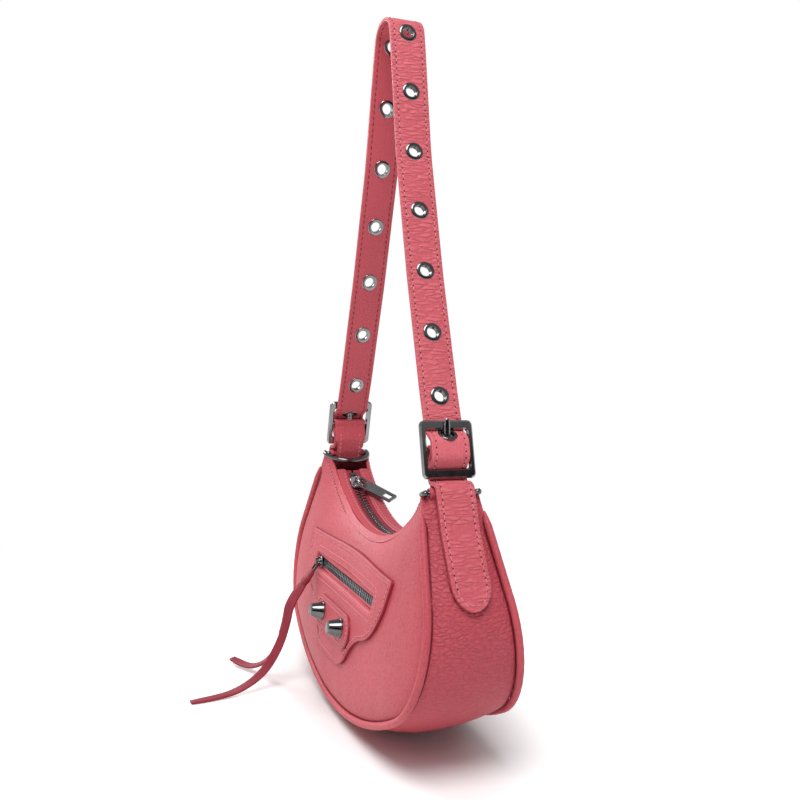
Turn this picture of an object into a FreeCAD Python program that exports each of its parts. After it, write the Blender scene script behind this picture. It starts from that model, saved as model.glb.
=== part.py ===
import FreeCAD, Part
import math
import os

from FreeCAD import Vector

# Lengths are millimetres. +X is the bag's right, -Y its front, +Z up, and the table is z = 0.

# Shell
body_half_length = 125.0
end_radius = 50.0
end_height_share = 0.50768
piping_base_height = 7.0
piping_radius = 2.0
horn_span_share = 0.7344
horn_height = 149.7
base_half_depth = 35.0
horn_half_depth = 16.7
panel_bulge = 10.0
bulge_reach = 20.0
lean_reach = 15.0
seam_reach = 6.0
panel_leather = 1.6
gusset_leather = 1.8
base_crown = 10.0
end_crown = 3.0
horn_crown = 1.5
lining_cloth = 0.6
lining_gap = 0.2
lining_inset = 3.0
board_length = 46.0
board_width = 24.0
board_thickness = 1.5
surface_columns = 17
surface_rows = 13

# Top zip
zip_low_share = 0.7348
zip_radius = 120.0
zip_end_gap = 13.07
zip_stop_inset = 5.24
facing_half_depth = 12.0
facing_gap = 5.6
facing_leather = 1.3
tape_thickness = 0.6
tape_clearance = 0.1
teeth_height = 2.2
teeth_inner = 0.9
teeth_outer = 3.0
stop_length = 2.5
slider_rest_gap = 2.84
slider_length = 11.0
slider_half_width = 4.5
slider_plate = 1.2
slider_clearance = 0.3
slider_flange = 1.1
slider_post_half = 0.6
slider_post_length = 3.0
bridge_length = 7.0
bridge_width = 2.2
bridge_wire = 1.1
bridge_room = 2.4
puller_length = 32.0
puller_width = 9.0
puller_thickness = 1.6
puller_eye_length = 6.4
puller_eye_width = 6.4
puller_crossbar = 1.4
puller_window_length = 6.0
puller_window_width = 4.6
puller_border = 2.2
puller_heading_angle = 34.2
puller_lift_angle = 10.4

# Front pocket
pocket_top_share = 0.67468
pocket_half_width = 79.0
pocket_waist_share = 0.40748
pocket_base_share = 0.24048
pocket_lobe_share = 0.53165
pocket_leather = 1.8
pocket_round = 5.0
pocket_side_round = 15.0
pocket_hip_round = 10.0
pocket_corner_round = 2.0
pocket_bag_inset = 8.0
pocket_bag_cloth = 1.2
pocket_room = 2.0
pocket_zip_height_share = 0.55444
pocket_zip_half = 57.0
pocket_window_height = 9.0
pocket_tape_thickness = 0.7
pocket_teeth_inner = 0.8
pocket_teeth_outer = 2.4
pocket_teeth_height = 1.8
pocket_stop_length = 1.5
pocket_slider_length = 8.0
pocket_slider_half_width = 3.4
pocket_slider_plate = 1.0
pocket_slider_post = 0.5
pocket_slider_travel_margin = 0.6
link_wire = 1.4
link_width = 5.0
link_length = 9.0
link_lean_angle = 36.0
head_width = 7.6
head_thickness = 3.6
head_length = 11.0
head_seat = 2.6
stud_patch_width = 68.0
stud_patch_height = 20.0
stud_patch_leather = 1.6
stud_spacing = 38.0
stud_height_share = 0.38744
stud_base_diameter = 12.0
stud_top_diameter = 7.0
stud_height = 8.0
stud_rim = 0.8
stud_post_diameter = 2.4
stud_back_diameter = 8.0
stud_back_thickness = 0.8
stud_back_gap = 0.25
slope_step = 0.5

# Laces, free cords whose points stay as chosen
lace_diameter = 1.6
lace_bend_share = 0.45
lace_long_points = [
    (-49.4, -41.1, 69.5),
    (-49.2, -50.4, 58.0),
    (-48.9, -53.6, 41.0),
    (-48.0, -59.4, 26.0),
    (-46.3, -69.2, 12.0),
    (-44.0, -84.5, 3.4),
    (-41.4, -101.0, 1.0),
    (-38.9, -116.5, 1.1),
]
lace_short_points = [
    (-51.2, -41.1, 69.5),
    (-51.6, -50.6, 58.0),
    (-52.4, -53.6, 42.0),
    (-55.5, -56.8, 28.5),
    (-64.0, -60.4, 16.0),
    (-76.5, -66.0, 6.6),
    (-91.0, -72.5, 2.4),
    (-103.0, -79.0, 4.4),
]

# Rings and the leather loops that hold them
ring_bar_out = 0.6
ring_bar_rise = 0.5
ring_half_width = 15.5
ring_depth = 14.0
ring_wire_radius = 1.6
ring_droop_angle = 15.0
loop_leather = 1.2
loop_clearance = 0.15
loop_half_width = 12.6
loop_tab_length = 14.0

# Buckles
buckle_in = 5.4
buckle_rise = 22.6
buckle_lean_angle = 14.7
buckle_length = 31.5
buckle_width = 31.0
buckle_bar = 3.6
buckle_thickness = 2.6
buckle_round = 3.0
centre_bar_radius = 1.3
bar_fit = 0.1
chape_leather = 1.2
chape_gap = 0.1
chape_width = 22.0
chape_end_reach = 28.0
chape_slot_width = 3.4
prong_diameter = 1.9
prong_width = 2.2
prong_length = 15.4
prong_rest_gap = 0.1

# Strap
strap_width = 22.0
strap_layer = 1.2
strap_clearance = 0.3
strap_apex_height = 425.0
strap_climb_angle = 50.0
strap_step_round = 3.0
strap_behind_reach = 10.5
strap_tail_angle = 20.5
strap_tail_gap = 0.8
strap_turn_reach = 17.6
strap_shoulder_gap = 3.4
strap_shoulder_angle = 46.0
strap_turn_round = 5.0
strap_wrap_round = 2.2
strap_tail_round = 25.0
strap_leg_round = 160.0
strap_top_round = 12.0
flank_share = 0.6
leg_x_shares = (0.84, 0.575, 0.322, 0.178, 0.126)
leg_z_shares = (0.12, 0.378, 0.667, 0.921, 1.0)

# Eyelets
eyelet_count_per_leg = 7
eyelet_pitch = 37.0
eyelet_outer_diameter = 10.2
eyelet_inner_diameter = 5.8
eyelet_wall = 0.4
eyelet_flange = 0.6

overrun = 60.0
closeness = 1e-6

# Worked-out values: points of the outlines, and places that follow them
horn_half_span = body_half_length * horn_span_share
end_centre_height = horn_height * end_height_share
pocket_lobe_half = pocket_half_width * pocket_lobe_share
pocket_top_height = horn_height * pocket_top_share
pocket_waist_height = horn_height * pocket_waist_share
pocket_base_height = horn_height * pocket_base_share
pocket_zip_height = horn_height * pocket_zip_height_share
stud_height_place = horn_height * stud_height_share
ring_bar_x = horn_half_span + ring_bar_out
ring_bar_height = horn_height + ring_bar_rise
buckle_x = ring_bar_x - buckle_in
buckle_height = ring_bar_height + buckle_rise

# The top zip's arc: its centre, ends and slider
zip_centre_height = horn_height * zip_low_share + zip_radius
zip_half_angle = math.degrees(math.asin((horn_half_span - zip_end_gap) / zip_radius))
zip_stop_angle = zip_half_angle - math.degrees(zip_stop_inset / zip_radius)
slider_rest_angle = math.degrees((slider_length / 2 + slider_rest_gap) / zip_radius) - zip_stop_angle

# Directions and the rest
UP = Vector(0, 0, 1)
ORIGIN = Vector(0, 0, 0)
ALONG_Y = Vector(0, 1, 0)
strap_half = strap_layer
side_tilt = math.atan((base_half_depth - horn_half_depth) / (horn_height - piping_base_height))
panel_edge_radius = zip_radius - tape_thickness / 2 - tape_clearance - facing_leather


def save(name, shape):
    shape.exportStep("parts/" + name + ".step")


def mirror_x(shape):
    return shape.mirror(ORIGIN, Vector(1, 0, 0))


def mirror_y(shape):
    return shape.mirror(ORIGIN, ALONG_Y)


def line(start, end):
    return Part.LineSegment(start, end).toShape()


def arc(start, middle, end):
    return Part.Arc(start, middle, end).toShape()


def block(x_range, y_range, z_range):
    corner = Vector(x_range[0], y_range[0], z_range[0])
    return Part.makeBox(x_range[1] - x_range[0], y_range[1] - y_range[0], z_range[1] - z_range[0], corner)


def around(middle, reach):
    return (middle - reach, middle + reach)


def rod(start, end, radius):
    return Part.makeCylinder(radius, (end - start).Length, start, end - start)


# Flat paths in the XZ plane: straight runs joined by tangent arcs
class FlatPath:
    def __init__(self, points, rounds):
        self.pieces = []
        start = points[0]
        for index in range(1, len(points) - 1):
            corner = points[index]
            before = unit(subtract(corner, points[index - 1]))
            after = unit(subtract(points[index + 1], corner))
            turn = math.atan2(cross(before, after), dot(before, after))
            if rounds[index - 1] == 0 or abs(turn) < closeness:
                self.add_line(start, corner)
                start = corner
                continue
            radius = rounds[index - 1]
            reach = radius * math.tan(abs(turn) / 2)
            first = shift(corner, before, -reach)
            last = shift(corner, after, reach)
            side = math.copysign(1, turn)
            centre = shift(first, (-before[1], before[0]), side * radius)
            self.add_line(start, first)
            self.pieces.append(("arc", first, last, centre, radius, side, abs(turn)))
            start = last
        self.add_line(start, points[-1])

    def add_line(self, start, end):
        if distance(start, end) > closeness:
            self.pieces.append(("line", start, end))

    def length(self):
        return sum(self.piece_length(piece) for piece in self.pieces)

    def piece_length(self, piece):
        if piece[0] == "line":
            return distance(piece[1], piece[2])
        return piece[4] * piece[6]

    def at(self, travel):
        """Point and heading at a distance along the path."""
        for piece in self.pieces:
            span = self.piece_length(piece)
            if travel <= span or piece is self.pieces[-1]:
                break
            travel -= span
        if piece[0] == "line":
            heading = unit(subtract(piece[2], piece[1]))
            return shift(piece[1], heading, travel), heading
        return self.arc_point(piece, travel / span, 0)

    def arc_point(self, piece, share, outward):
        centre, radius, side, turn = piece[3:]
        spoke = unit(subtract(piece[1], centre))
        angle = side * turn * share
        spoke = (
            spoke[0] * math.cos(angle) - spoke[1] * math.sin(angle),
            spoke[0] * math.sin(angle) + spoke[1] * math.cos(angle),
        )
        heading = (-spoke[1] * side, spoke[0] * side)
        return shift(centre, spoke, radius + side * outward), heading

    def edges(self, outward):
        """Edges of the path moved to its right by a distance."""
        found = []
        half_share = 0.5
        for piece in self.pieces:
            if piece[0] == "line":
                heading = unit(subtract(piece[2], piece[1]))
                right = (heading[1], -heading[0])
                ends = [shift(piece[1], right, outward), shift(piece[2], right, outward)]
                found.append(line(flat(ends[0]), flat(ends[1])))
            else:
                spots = [self.arc_point(piece, share, outward)[0] for share in (0, half_share, 1)]
                found.append(arc(flat(spots[0]), flat(spots[1]), flat(spots[2])))
        return found


def unit(pair):
    size = math.hypot(pair[0], pair[1])
    return (pair[0] / size, pair[1] / size)


def subtract(first, second):
    return (first[0] - second[0], first[1] - second[1])


def distance(first, second):
    return math.hypot(first[0] - second[0], first[1] - second[1])


def dot(first, second):
    return first[0] * second[0] + first[1] * second[1]


def cross(first, second):
    return first[0] * second[1] - first[1] * second[0]


def shift(point, direction, reach):
    return (point[0] + direction[0] * reach, point[1] + direction[1] * reach)


def flat(pair):
    return Vector(pair[0], 0, pair[1])


def extrude_y(wire, low, high):
    face = Part.Face(wire)
    face.translate(Vector(0, low, 0))
    return face.extrude(Vector(0, high - low, 0))


def ribbon(path, inner, outer, width):
    """A strip of leather between two distances to the right of a flat path."""
    outer_edges = path.edges(outer)
    inner_edges = path.edges(inner)
    first_cap = line(inner_edges[0].valueAt(inner_edges[0].FirstParameter), start_of(outer_edges[0]))
    last_cap = line(end_of(outer_edges[-1]), end_of(inner_edges[-1]))
    wire = Part.Wire(Part.__sortEdges__(outer_edges + [last_cap] + inner_edges + [first_cap]))
    return extrude_y(wire, -width / 2, width / 2)


def start_of(edge):
    return edge.valueAt(edge.FirstParameter)


def end_of(edge):
    return edge.valueAt(edge.LastParameter)


# Outline of the shell: base arc, two end arcs and two straight flanks up to the horns
class Outline:
    def __init__(self, drop, grow, horn_grow, extend):
        self.drop = drop
        self.radius = end_radius + grow
        self.end_x = body_half_length - end_radius
        self.end_rise = end_centre_height - piping_base_height
        gap = self.end_rise + drop
        self.base_radius = (self.end_x**2 + gap**2 - self.radius**2) / (2 * (gap - self.radius))
        self.base_rise = self.base_radius - drop
        out = unit((self.end_x, self.end_rise - self.base_rise))
        self.joint = shift((0, self.base_rise), out, self.base_radius)
        self.joint_angle = math.atan2(out[1], out[0])
        horn = (horn_half_span + horn_grow, horn_height - piping_base_height)
        toward = subtract(horn, (self.end_x, self.end_rise))
        reach = math.hypot(toward[0], toward[1])
        self.flank_angle = math.atan2(toward[1], toward[0]) - math.acos(self.radius / reach)
        self.flank = self.on_end(self.flank_angle)
        self.horn = shift(horn, unit(subtract(horn, self.flank)), extend)

    def on_end(self, angle):
        return shift((self.end_x, self.end_rise), (math.cos(angle), math.sin(angle)), self.radius)

    def open_edges(self, place):
        end = self.on_end((self.joint_angle + self.flank_angle) / 2)
        right = [place(x, rise) for x, rise in (self.horn, self.flank, end, self.joint)]
        left = [place(-x, rise) for x, rise in (self.horn, self.flank, end, self.joint)]
        base = place(0, -self.drop)
        return [
            line(right[0], right[1]),
            arc(right[1], right[2], right[3]),
            arc(right[3], base, left[3]),
            arc(left[3], left[2], left[1]),
            line(left[1], left[0]),
        ]

    def closed_wire(self, place):
        edges = self.open_edges(place)
        top = line(place(-self.horn[0], self.horn[1]), place(self.horn[0], self.horn[1]))
        return Part.Wire(edges + [top])

    def seam_distance(self, x, rise):
        """Distance inside the seam, negative outside it."""
        ahead = subtract((abs(x), rise), (self.end_x, self.end_rise))
        angle = math.atan2(ahead[1], ahead[0])
        if self.joint_angle <= angle <= self.flank_angle:
            return self.radius - math.hypot(ahead[0], ahead[1])
        base = self.base_radius - math.hypot(x, rise - self.base_rise)
        flank = self.radius - dot(ahead, (math.cos(self.flank_angle), math.sin(self.flank_angle)))
        return min(base, flank)


seam = Outline(0, 0, 0, 0)


def side_place(side, extra):
    def place(x, rise):
        depth = base_half_depth + extra - rise * math.sin(side_tilt)
        return Vector(x, side * depth, piping_base_height + rise * math.cos(side_tilt))

    return place


def middle_place(x, rise):
    return Vector(x, 0, piping_base_height + rise)


def zip_point_height(x, radius):
    return zip_centre_height - math.sqrt(radius**2 - x**2)


def side_depth(z):
    return base_half_depth - (z - piping_base_height) * math.tan(side_tilt)


def panel_fill(x, z):
    """How far a panel swells, most near the base and not at all at the horns."""
    inside = seam.seam_distance(x, (z - piping_base_height) / math.cos(side_tilt))
    swell = panel_bulge * max(0, (horn_height - z) / (horn_height - piping_base_height))
    if inside < 0:
        return swell * inside / bulge_reach, 0
    return swell * (1 - math.exp(-inside / bulge_reach)), inside


def panel_depth(x, z):
    """How far the outer face of a panel lies from the middle plane."""
    top_x = min(abs(x), horn_half_span)
    top_z = zip_point_height(top_x, panel_edge_radius)
    fill, inside = panel_fill(x, z)
    top_fill = panel_fill(top_x, top_z)[0]
    lean_full = side_depth(top_z) + top_fill - facing_half_depth
    below = top_z - z
    fade = math.exp(-below / lean_reach) if below > 0 else 1 - below / lean_reach
    return side_depth(z) + fill - lean_full * fade * (1 - math.exp(-inside / seam_reach))


def panel_face():
    """The outer face of the front panel, wider than the panel all round."""
    margin = bulge_reach / 3
    columns = []
    for column in range(surface_columns):
        x = (body_half_length + margin) * (2 * column / (surface_columns - 1) - 1)
        low = piping_base_height - margin
        high = zip_point_height(min(abs(x), horn_half_span), panel_edge_radius) + margin
        heights = [low + (high - low) * row / (surface_rows - 1) for row in range(surface_rows)]
        columns.append([Vector(x, -panel_depth(x, z), z) for z in heights])
    surface = Part.BSplineSurface()
    surface.interpolate(columns)
    return surface.toShape()


outer_face = panel_face()


def slab(inset, thickness):
    """A sheet behind the front panel's outer face, or before it when the inset is negative."""
    face = outer_face.copy()
    face.translate(Vector(0, inset, 0))
    return face.extrude(Vector(0, thickness, 0))


def crescent(shape_outline, edge_radius):
    """The crescent that a panel fills, as a prism square to the piping's plane."""
    normal = Vector(0, -math.cos(side_tilt), math.sin(side_tilt))
    face = Part.Face(shape_outline.closed_wire(side_place(-1, 0)))
    face.translate(normal * -overrun)
    prism = face.extrude(normal * (overrun + overrun))
    return prism.cut(zip_drum(edge_radius))


def zip_drum(radius):
    start = Vector(0, -overrun, zip_centre_height)
    return Part.makeCylinder(radius, overrun + overrun, start, ALONG_Y)


def piping(side):
    wire = Part.Wire(seam.open_edges(side_place(side, 0)))
    edge = wire.Edges[0]
    profile = Part.Wire(Part.makeCircle(piping_radius, start_of(edge), edge.tangentAt(edge.FirstParameter)))
    return wire.makePipeShell([profile], True, False)


def shell_loft(inset, side_over):
    """The space inside the gusset strip, crowned between the two pipings."""
    seam_ring = Outline(-inset, -inset, -inset, overrun if inset else 0)
    crown = Outline(base_crown - inset, end_crown - inset, horn_crown - inset, overrun if inset else 0)
    wires = [
        seam_ring.closed_wire(side_place(-1, side_over)),
        crown.closed_wire(middle_place),
        seam_ring.closed_wire(side_place(1, side_over)),
    ]
    return Part.makeLoft(wires, True, False)


def middle_wedge(gap):
    """The space between the two piping planes, brought in by a gap on each side."""
    low = side_depth(0) - gap
    high = side_depth(horn_height) - gap
    spots = [(-low, 0), (low, 0), (high, horn_height), (-high, horn_height), (-low, 0)]
    face = Part.Face(Part.makePolygon([Vector(-body_half_length, y, z) for y, z in spots]))
    return face.extrude(Vector(2 * body_half_length, 0, 0))


def above(shape, height):
    reach = around(0, body_half_length + overrun)
    return shape.common(block(reach, reach, (height, height + strap_apex_height)))


# Rings
def ring_place(across, inward):
    """A point of the right-hand ring: across the bag, and inward from its bar."""
    droop = math.radians(ring_droop_angle)
    x = ring_bar_x - inward * math.cos(droop)
    return Vector(x, across, ring_bar_height - inward * math.sin(droop))


def ring(radius):
    ends = [ring_place(-ring_half_width, 0), ring_place(ring_half_width, 0)]
    bow_path = Part.Wire([arc(ends[0], ring_place(0, ring_depth), ends[1])])
    edge = bow_path.Edges[0]
    profile = Part.Wire(Part.makeCircle(radius, ends[0], edge.tangentAt(edge.FirstParameter)))
    bow = bow_path.makePipeShell([profile], True, False)
    corners = [Part.makeSphere(radius, end) for end in ends]
    return bow.multiFuse([rod(ends[0], ends[1], radius)] + corners).removeSplitter()


loop_inner = ring_wire_radius + loop_clearance
loop_outer = loop_inner + loop_leather


def bar_rod(reach, radius):
    """A rod round the line of the right-hand ring's bar."""
    start = Vector(ring_bar_x, -reach, ring_bar_height)
    return rod(start, start + ALONG_Y * (reach + reach), radius)


def ring_loop():
    """A leather loop round the ring's bar, with a tab sewn inside the gusset."""
    tube = bar_rod(loop_half_width, loop_outer)
    tab = block(
        (-loop_outer, -loop_outer + loop_leather),
        (-loop_half_width, loop_half_width),
        (-loop_tab_length, 0),
    )
    lean = math.degrees(math.atan2(seam.flank[0] - seam.horn[0], seam.horn[1] - seam.flank[1]))
    tab.rotate(ORIGIN, ALONG_Y, -lean)
    tab.translate(Vector(ring_bar_x, 0, ring_bar_height))
    return tube.fuse(tab).cut(bar_rod(overrun, loop_inner)).removeSplitter()


# Buckle frame: along the strap and out from the bag
def buckle_spot(along, out):
    lean = math.radians(buckle_lean_angle)
    x = buckle_x - along * math.sin(lean) + out * math.cos(lean)
    return (x, buckle_height + along * math.cos(lean) + out * math.sin(lean))


def buckle_set(shape):
    """Turn a shape modelled with its strap along Z and its front along +X into the right-hand buckle."""
    shape.rotate(ORIGIN, ALONG_Y, -buckle_lean_angle)
    shape.translate(Vector(buckle_x, 0, buckle_height))
    return shape


def rounded_plate(width, length, thickness, radius):
    plate = block((-thickness / 2, thickness / 2), (-width / 2, width / 2), (-length / 2, length / 2))
    uprights = [edge for edge in plate.Edges if abs(edge.tangentAt(edge.FirstParameter).x) > 1 - closeness]
    return plate.makeFillet(radius, uprights)


def buckle_frame():
    plate = rounded_plate(buckle_width, buckle_length, buckle_thickness, buckle_round)
    opening_width = buckle_width - 2 * buckle_bar
    opening_length = buckle_length - 2 * buckle_bar
    opening = rounded_plate(opening_width, opening_length, 2 * buckle_thickness, buckle_round / 2)
    frame = plate.cut(opening)
    reach = buckle_width / 2 - buckle_bar / 2
    return buckle_set(frame.cut(rod(Vector(0, -reach, 0), Vector(0, reach, 0), centre_bar_radius)))


def centre_bar():
    reach = buckle_width / 2 - buckle_bar / 2
    return buckle_set(rod(Vector(0, -reach, 0), Vector(0, reach, 0), centre_bar_radius))


rest_edge = (buckle_length / 2 - buckle_bar, buckle_thickness / 2)
prong_hub_radius = centre_bar_radius + bar_fit + prong_diameter / 2
prong_lift = math.asin((prong_diameter / 2 + prong_rest_gap) / math.hypot(rest_edge[0], rest_edge[1]))
prong_angle = math.atan2(rest_edge[1], rest_edge[0]) + prong_lift


def prong():
    """A rod from the centre bar through the eyelet, resting on the buckle's top bar."""
    half = prong_width / 2
    hub = rod(Vector(0, -half, 0), Vector(0, half, 0), prong_hub_radius)
    tip = Vector(math.sin(prong_angle), 0, math.cos(prong_angle)) * prong_length
    finger = rod(ORIGIN, tip, prong_diameter / 2).fuse(Part.makeSphere(prong_diameter / 2, tip))
    hole = rod(Vector(0, -prong_width, 0), Vector(0, prong_width, 0), centre_bar_radius + bar_fit)
    return buckle_set(hub.fuse(finger).cut(hole).removeSplitter())


# Chape: a strip folded over the centre bar, both plies running down into the bag's end
chape_loop = centre_bar_radius + bar_fit + chape_leather / 2
strap_behind = -(buckle_thickness / 2 + strap_clearance + strap_half)
chape_outer_ply = strap_behind - strap_half - strap_clearance - chape_leather / 2
chape_inner_ply = chape_outer_ply - chape_leather - chape_gap


def chape():
    corner = math.sqrt(2) - 1
    knee = -strap_behind_reach
    crown = chape_loop
    spots = [
        (-chape_end_reach, chape_outer_ply),
        (knee, chape_outer_ply),
        (-crown, crown),
        (crown, crown),
        (crown, -crown),
        (-crown, -crown),
        (knee, chape_inner_ply),
        (-chape_end_reach, chape_inner_ply),
    ]
    rounds = [chape_loop, chape_loop * corner, chape_loop, chape_loop, chape_loop * corner, chape_loop]
    path = FlatPath([buckle_spot(along, out) for along, out in spots], rounds)
    strip = ribbon(path, -chape_leather / 2, chape_leather / 2, chape_width)
    slot_reach = prong_hub_radius + chape_leather
    reach = (-slot_reach, slot_reach)
    slot = block(reach, (-chape_slot_width / 2, chape_slot_width / 2), reach)
    return strip.cut(buckle_set(slot))


# Strap path: right tail, over the right buckle, up and over the apex, and mirrored down the left
strap_over = chape_loop + chape_leather / 2 + strap_clearance + strap_half
climb_run = (strap_over - strap_behind) / math.tan(math.radians(strap_climb_angle))
step_spots = [
    (-strap_behind_reach, strap_behind),
    (climb_run - strap_behind_reach, strap_over),
    (strap_behind_reach - climb_run, strap_over),
    (strap_behind_reach, strap_behind),
]


def strap_path():
    crown = Outline(base_crown, end_crown, horn_crown, 0)
    lift = strap_half + strap_tail_gap
    ray = (math.cos(math.radians(strap_tail_angle)), math.sin(math.radians(strap_tail_angle)))
    tip = shift((crown.end_x, crown.end_rise + piping_base_height), ray, crown.radius + lift)
    out = (math.cos(crown.flank_angle), math.sin(crown.flank_angle))
    knee = shift((crown.flank[0], crown.flank[1] + piping_base_height), out, lift)
    top = shift((crown.horn[0], crown.horn[1] + piping_base_height), out, lift)
    flank = shift(knee, subtract(top, knee), flank_share)
    turn = math.radians(strap_shoulder_angle)
    reach = loop_outer + strap_half + strap_shoulder_gap
    shoulder = shift((ring_bar_x, ring_bar_height), (math.cos(turn), math.sin(turn)), reach)
    half = [tip, knee, flank, shoulder, buckle_spot(-strap_turn_reach, strap_behind)]
    rounds = [strap_tail_round, strap_tail_round, strap_turn_round, strap_wrap_round]
    half += [buckle_spot(along, spot_out) for along, spot_out in step_spots]
    rounds += [strap_step_round for spot in step_spots]
    rise = strap_apex_height - strap_half - buckle_height
    for x_share, z_share in zip(leg_x_shares, leg_z_shares):
        half.append((buckle_x * x_share, buckle_height + rise * z_share))
        rounds.append(strap_leg_round)
    rounds[-1] = strap_top_round
    rounds[-len(leg_x_shares)] = strap_tail_round
    mirrored = [(-x, z) for x, z in reversed(half)]
    return FlatPath(half + mirrored, rounds + list(reversed(rounds)))


strap_line = strap_path()


def buckle_eyelet():
    """Where the prong's line crosses the strap, and the strap's heading there."""
    low, high = step_spots[2], step_spots[3]
    run = subtract(high, low)
    ray = (math.cos(prong_angle), math.sin(prong_angle))
    travel = cross(low, ray) / cross(ray, run)
    start = buckle_spot(*low)
    heading = unit(subtract(buckle_spot(*high), start))
    return shift(start, heading, travel * math.hypot(run[0], run[1])), heading


def eyelet_spots():
    spots = []
    middle = strap_line.length() / 2
    for index in range(eyelet_count_per_leg):
        reach = eyelet_pitch * (index + 1 / 2)
        spots.append(strap_line.at(middle - reach))
        spots.append(strap_line.at(middle + reach))
    point, heading = buckle_eyelet()
    spots.append((point, heading))
    spots.append(((-point[0], point[1]), (heading[0], -heading[1])))
    return spots


def eyelet_parts():
    """Holes through the leather, caps on its outer side and washers on its inner side."""
    holes, caps, washers = [], [], []
    bore = eyelet_inner_diameter / 2
    sleeve = bore + eyelet_wall
    disc = eyelet_outer_diameter / 2
    for point, heading in eyelet_spots():
        centre = flat(point)
        out = Vector(heading[1], 0, -heading[0])
        face = centre + out * strap_half
        back = centre - out * strap_half
        far = back - out * eyelet_flange
        clear = rod(far - out * overrun, face + out * overrun, bore)
        hole = rod(far - out * strap_half, face + out * strap_half, sleeve)
        holes.append(hole)
        caps.append(rod(far, face, sleeve).fuse(rod(face, face + out * eyelet_flange, disc)).cut(clear))
        washers.append(rod(far, back, disc).cut(hole))
    return holes, caps, washers


def tail_rounding():
    """What is cut from the strap to round the end of its right tail."""
    point, heading = strap_line.at(0)
    half = strap_width / 2
    waste = block((-half, half), (-strap_width, strap_width), (-half, half))
    waste = waste.cut(rod(Vector(-half, 0, half), Vector(half, 0, half), half))
    waste.rotate(ORIGIN, ALONG_Y, math.degrees(math.atan2(heading[0], heading[1])))
    waste.translate(flat(point))
    return waste


# Top zip, all on arcs about one axis across the bag
def zip_sector(radii, y_range, angles):
    """A piece of the zip between two radii, two depths and two angles from straight down."""
    corners = []
    for radius, order in ((radii[0], (0, 1, 2)), (radii[1], (2, 1, 0))):
        turns = [angles[0], (angles[0] + angles[1]) / 2, angles[1]]
        corners.append([zip_spot(radius, turns[index]) for index in order])
    wire = Part.Wire([
        arc(*corners[0]),
        line(corners[0][2], corners[1][0]),
        arc(*corners[1]),
        line(corners[1][2], corners[0][0]),
    ])
    return extrude_y(wire, y_range[0], y_range[1])


def zip_spot(radius, angle):
    turn = math.radians(angle)
    return Vector(radius * math.sin(turn), 0, zip_centre_height - radius * math.cos(turn))


teeth_radii = (zip_radius - teeth_height / 2, zip_radius + teeth_height / 2)
tape_radii = (zip_radius - tape_thickness / 2, zip_radius + tape_thickness / 2)
slider_top = teeth_radii[0] - slider_clearance
slider_base = teeth_radii[1] + slider_clearance


def top_slider():
    half_turn = math.degrees(slider_length / 2 / zip_radius)
    angles = (slider_rest_angle - half_turn, slider_rest_angle + half_turn)
    post_turn = math.degrees(slider_post_length / zip_radius)
    wide = (-slider_half_width, slider_half_width)
    plates = [
        zip_sector((slider_top - slider_plate, slider_top), wide, angles),
        zip_sector((slider_base, slider_base + slider_plate), wide, angles),
    ]
    flanges = []
    flange_in = slider_half_width - slider_flange
    for side in (-1, 1):
        span = sorted((side * flange_in, side * slider_half_width))
        flanges.append(zip_sector((slider_top, tape_radii[0] - slider_clearance), span, angles))
        flanges.append(zip_sector((tape_radii[1] + slider_clearance, slider_base), span, angles))
    post_angles = (angles[0], angles[0] + post_turn)
    post = zip_sector((slider_top, slider_base), (-slider_post_half, slider_post_half), post_angles)
    bridge_turn = math.degrees(bridge_length / 2 / zip_radius)
    foot_turn = math.degrees(bridge_wire / zip_radius)
    bridge_angles = (slider_rest_angle - bridge_turn, slider_rest_angle + bridge_turn)
    across = (-bridge_width / 2, bridge_width / 2)
    bridge_base = slider_top - slider_plate
    bridge_top = bridge_base - bridge_room
    bridge = [
        zip_sector((bridge_top - bridge_wire, bridge_top), across, bridge_angles),
        zip_sector((bridge_top, bridge_base), across, (bridge_angles[0], bridge_angles[0] + foot_turn)),
        zip_sector((bridge_top, bridge_base), across, (bridge_angles[1] - foot_turn, bridge_angles[1])),
    ]
    return plates[0].multiFuse([plates[1], post] + flanges + bridge).removeSplitter()


def top_puller_pivot():
    return zip_spot(slider_top - slider_plate - bridge_room / 2, slider_rest_angle)


def top_puller():
    """A flat bar hung on the bridge by a wide eye, with a window near its free end."""
    half_width = puller_width / 2
    half_thick = puller_thickness / 2
    eye_near = puller_crossbar / 2
    eye_half = puller_eye_width / 2
    bar = block((-eye_near, puller_length), (-half_width, half_width), (-half_thick, half_thick))
    through = (-puller_thickness, puller_thickness)
    eye = block((eye_near, eye_near + puller_eye_length), (-eye_half, eye_half), through)
    window_far = puller_length - puller_border
    window_reach = puller_window_width / 2
    window = block((window_far - puller_window_length, window_far), (-window_reach, window_reach), through)
    puller = bar.cut(window).cut(eye)
    puller.rotate(ORIGIN, ALONG_Y, -puller_lift_angle)
    puller.rotate(ORIGIN, UP, puller_heading_angle)
    puller.rotate(ORIGIN, ALONG_Y, -slider_rest_angle)
    puller.translate(top_puller_pivot())
    return puller


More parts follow.
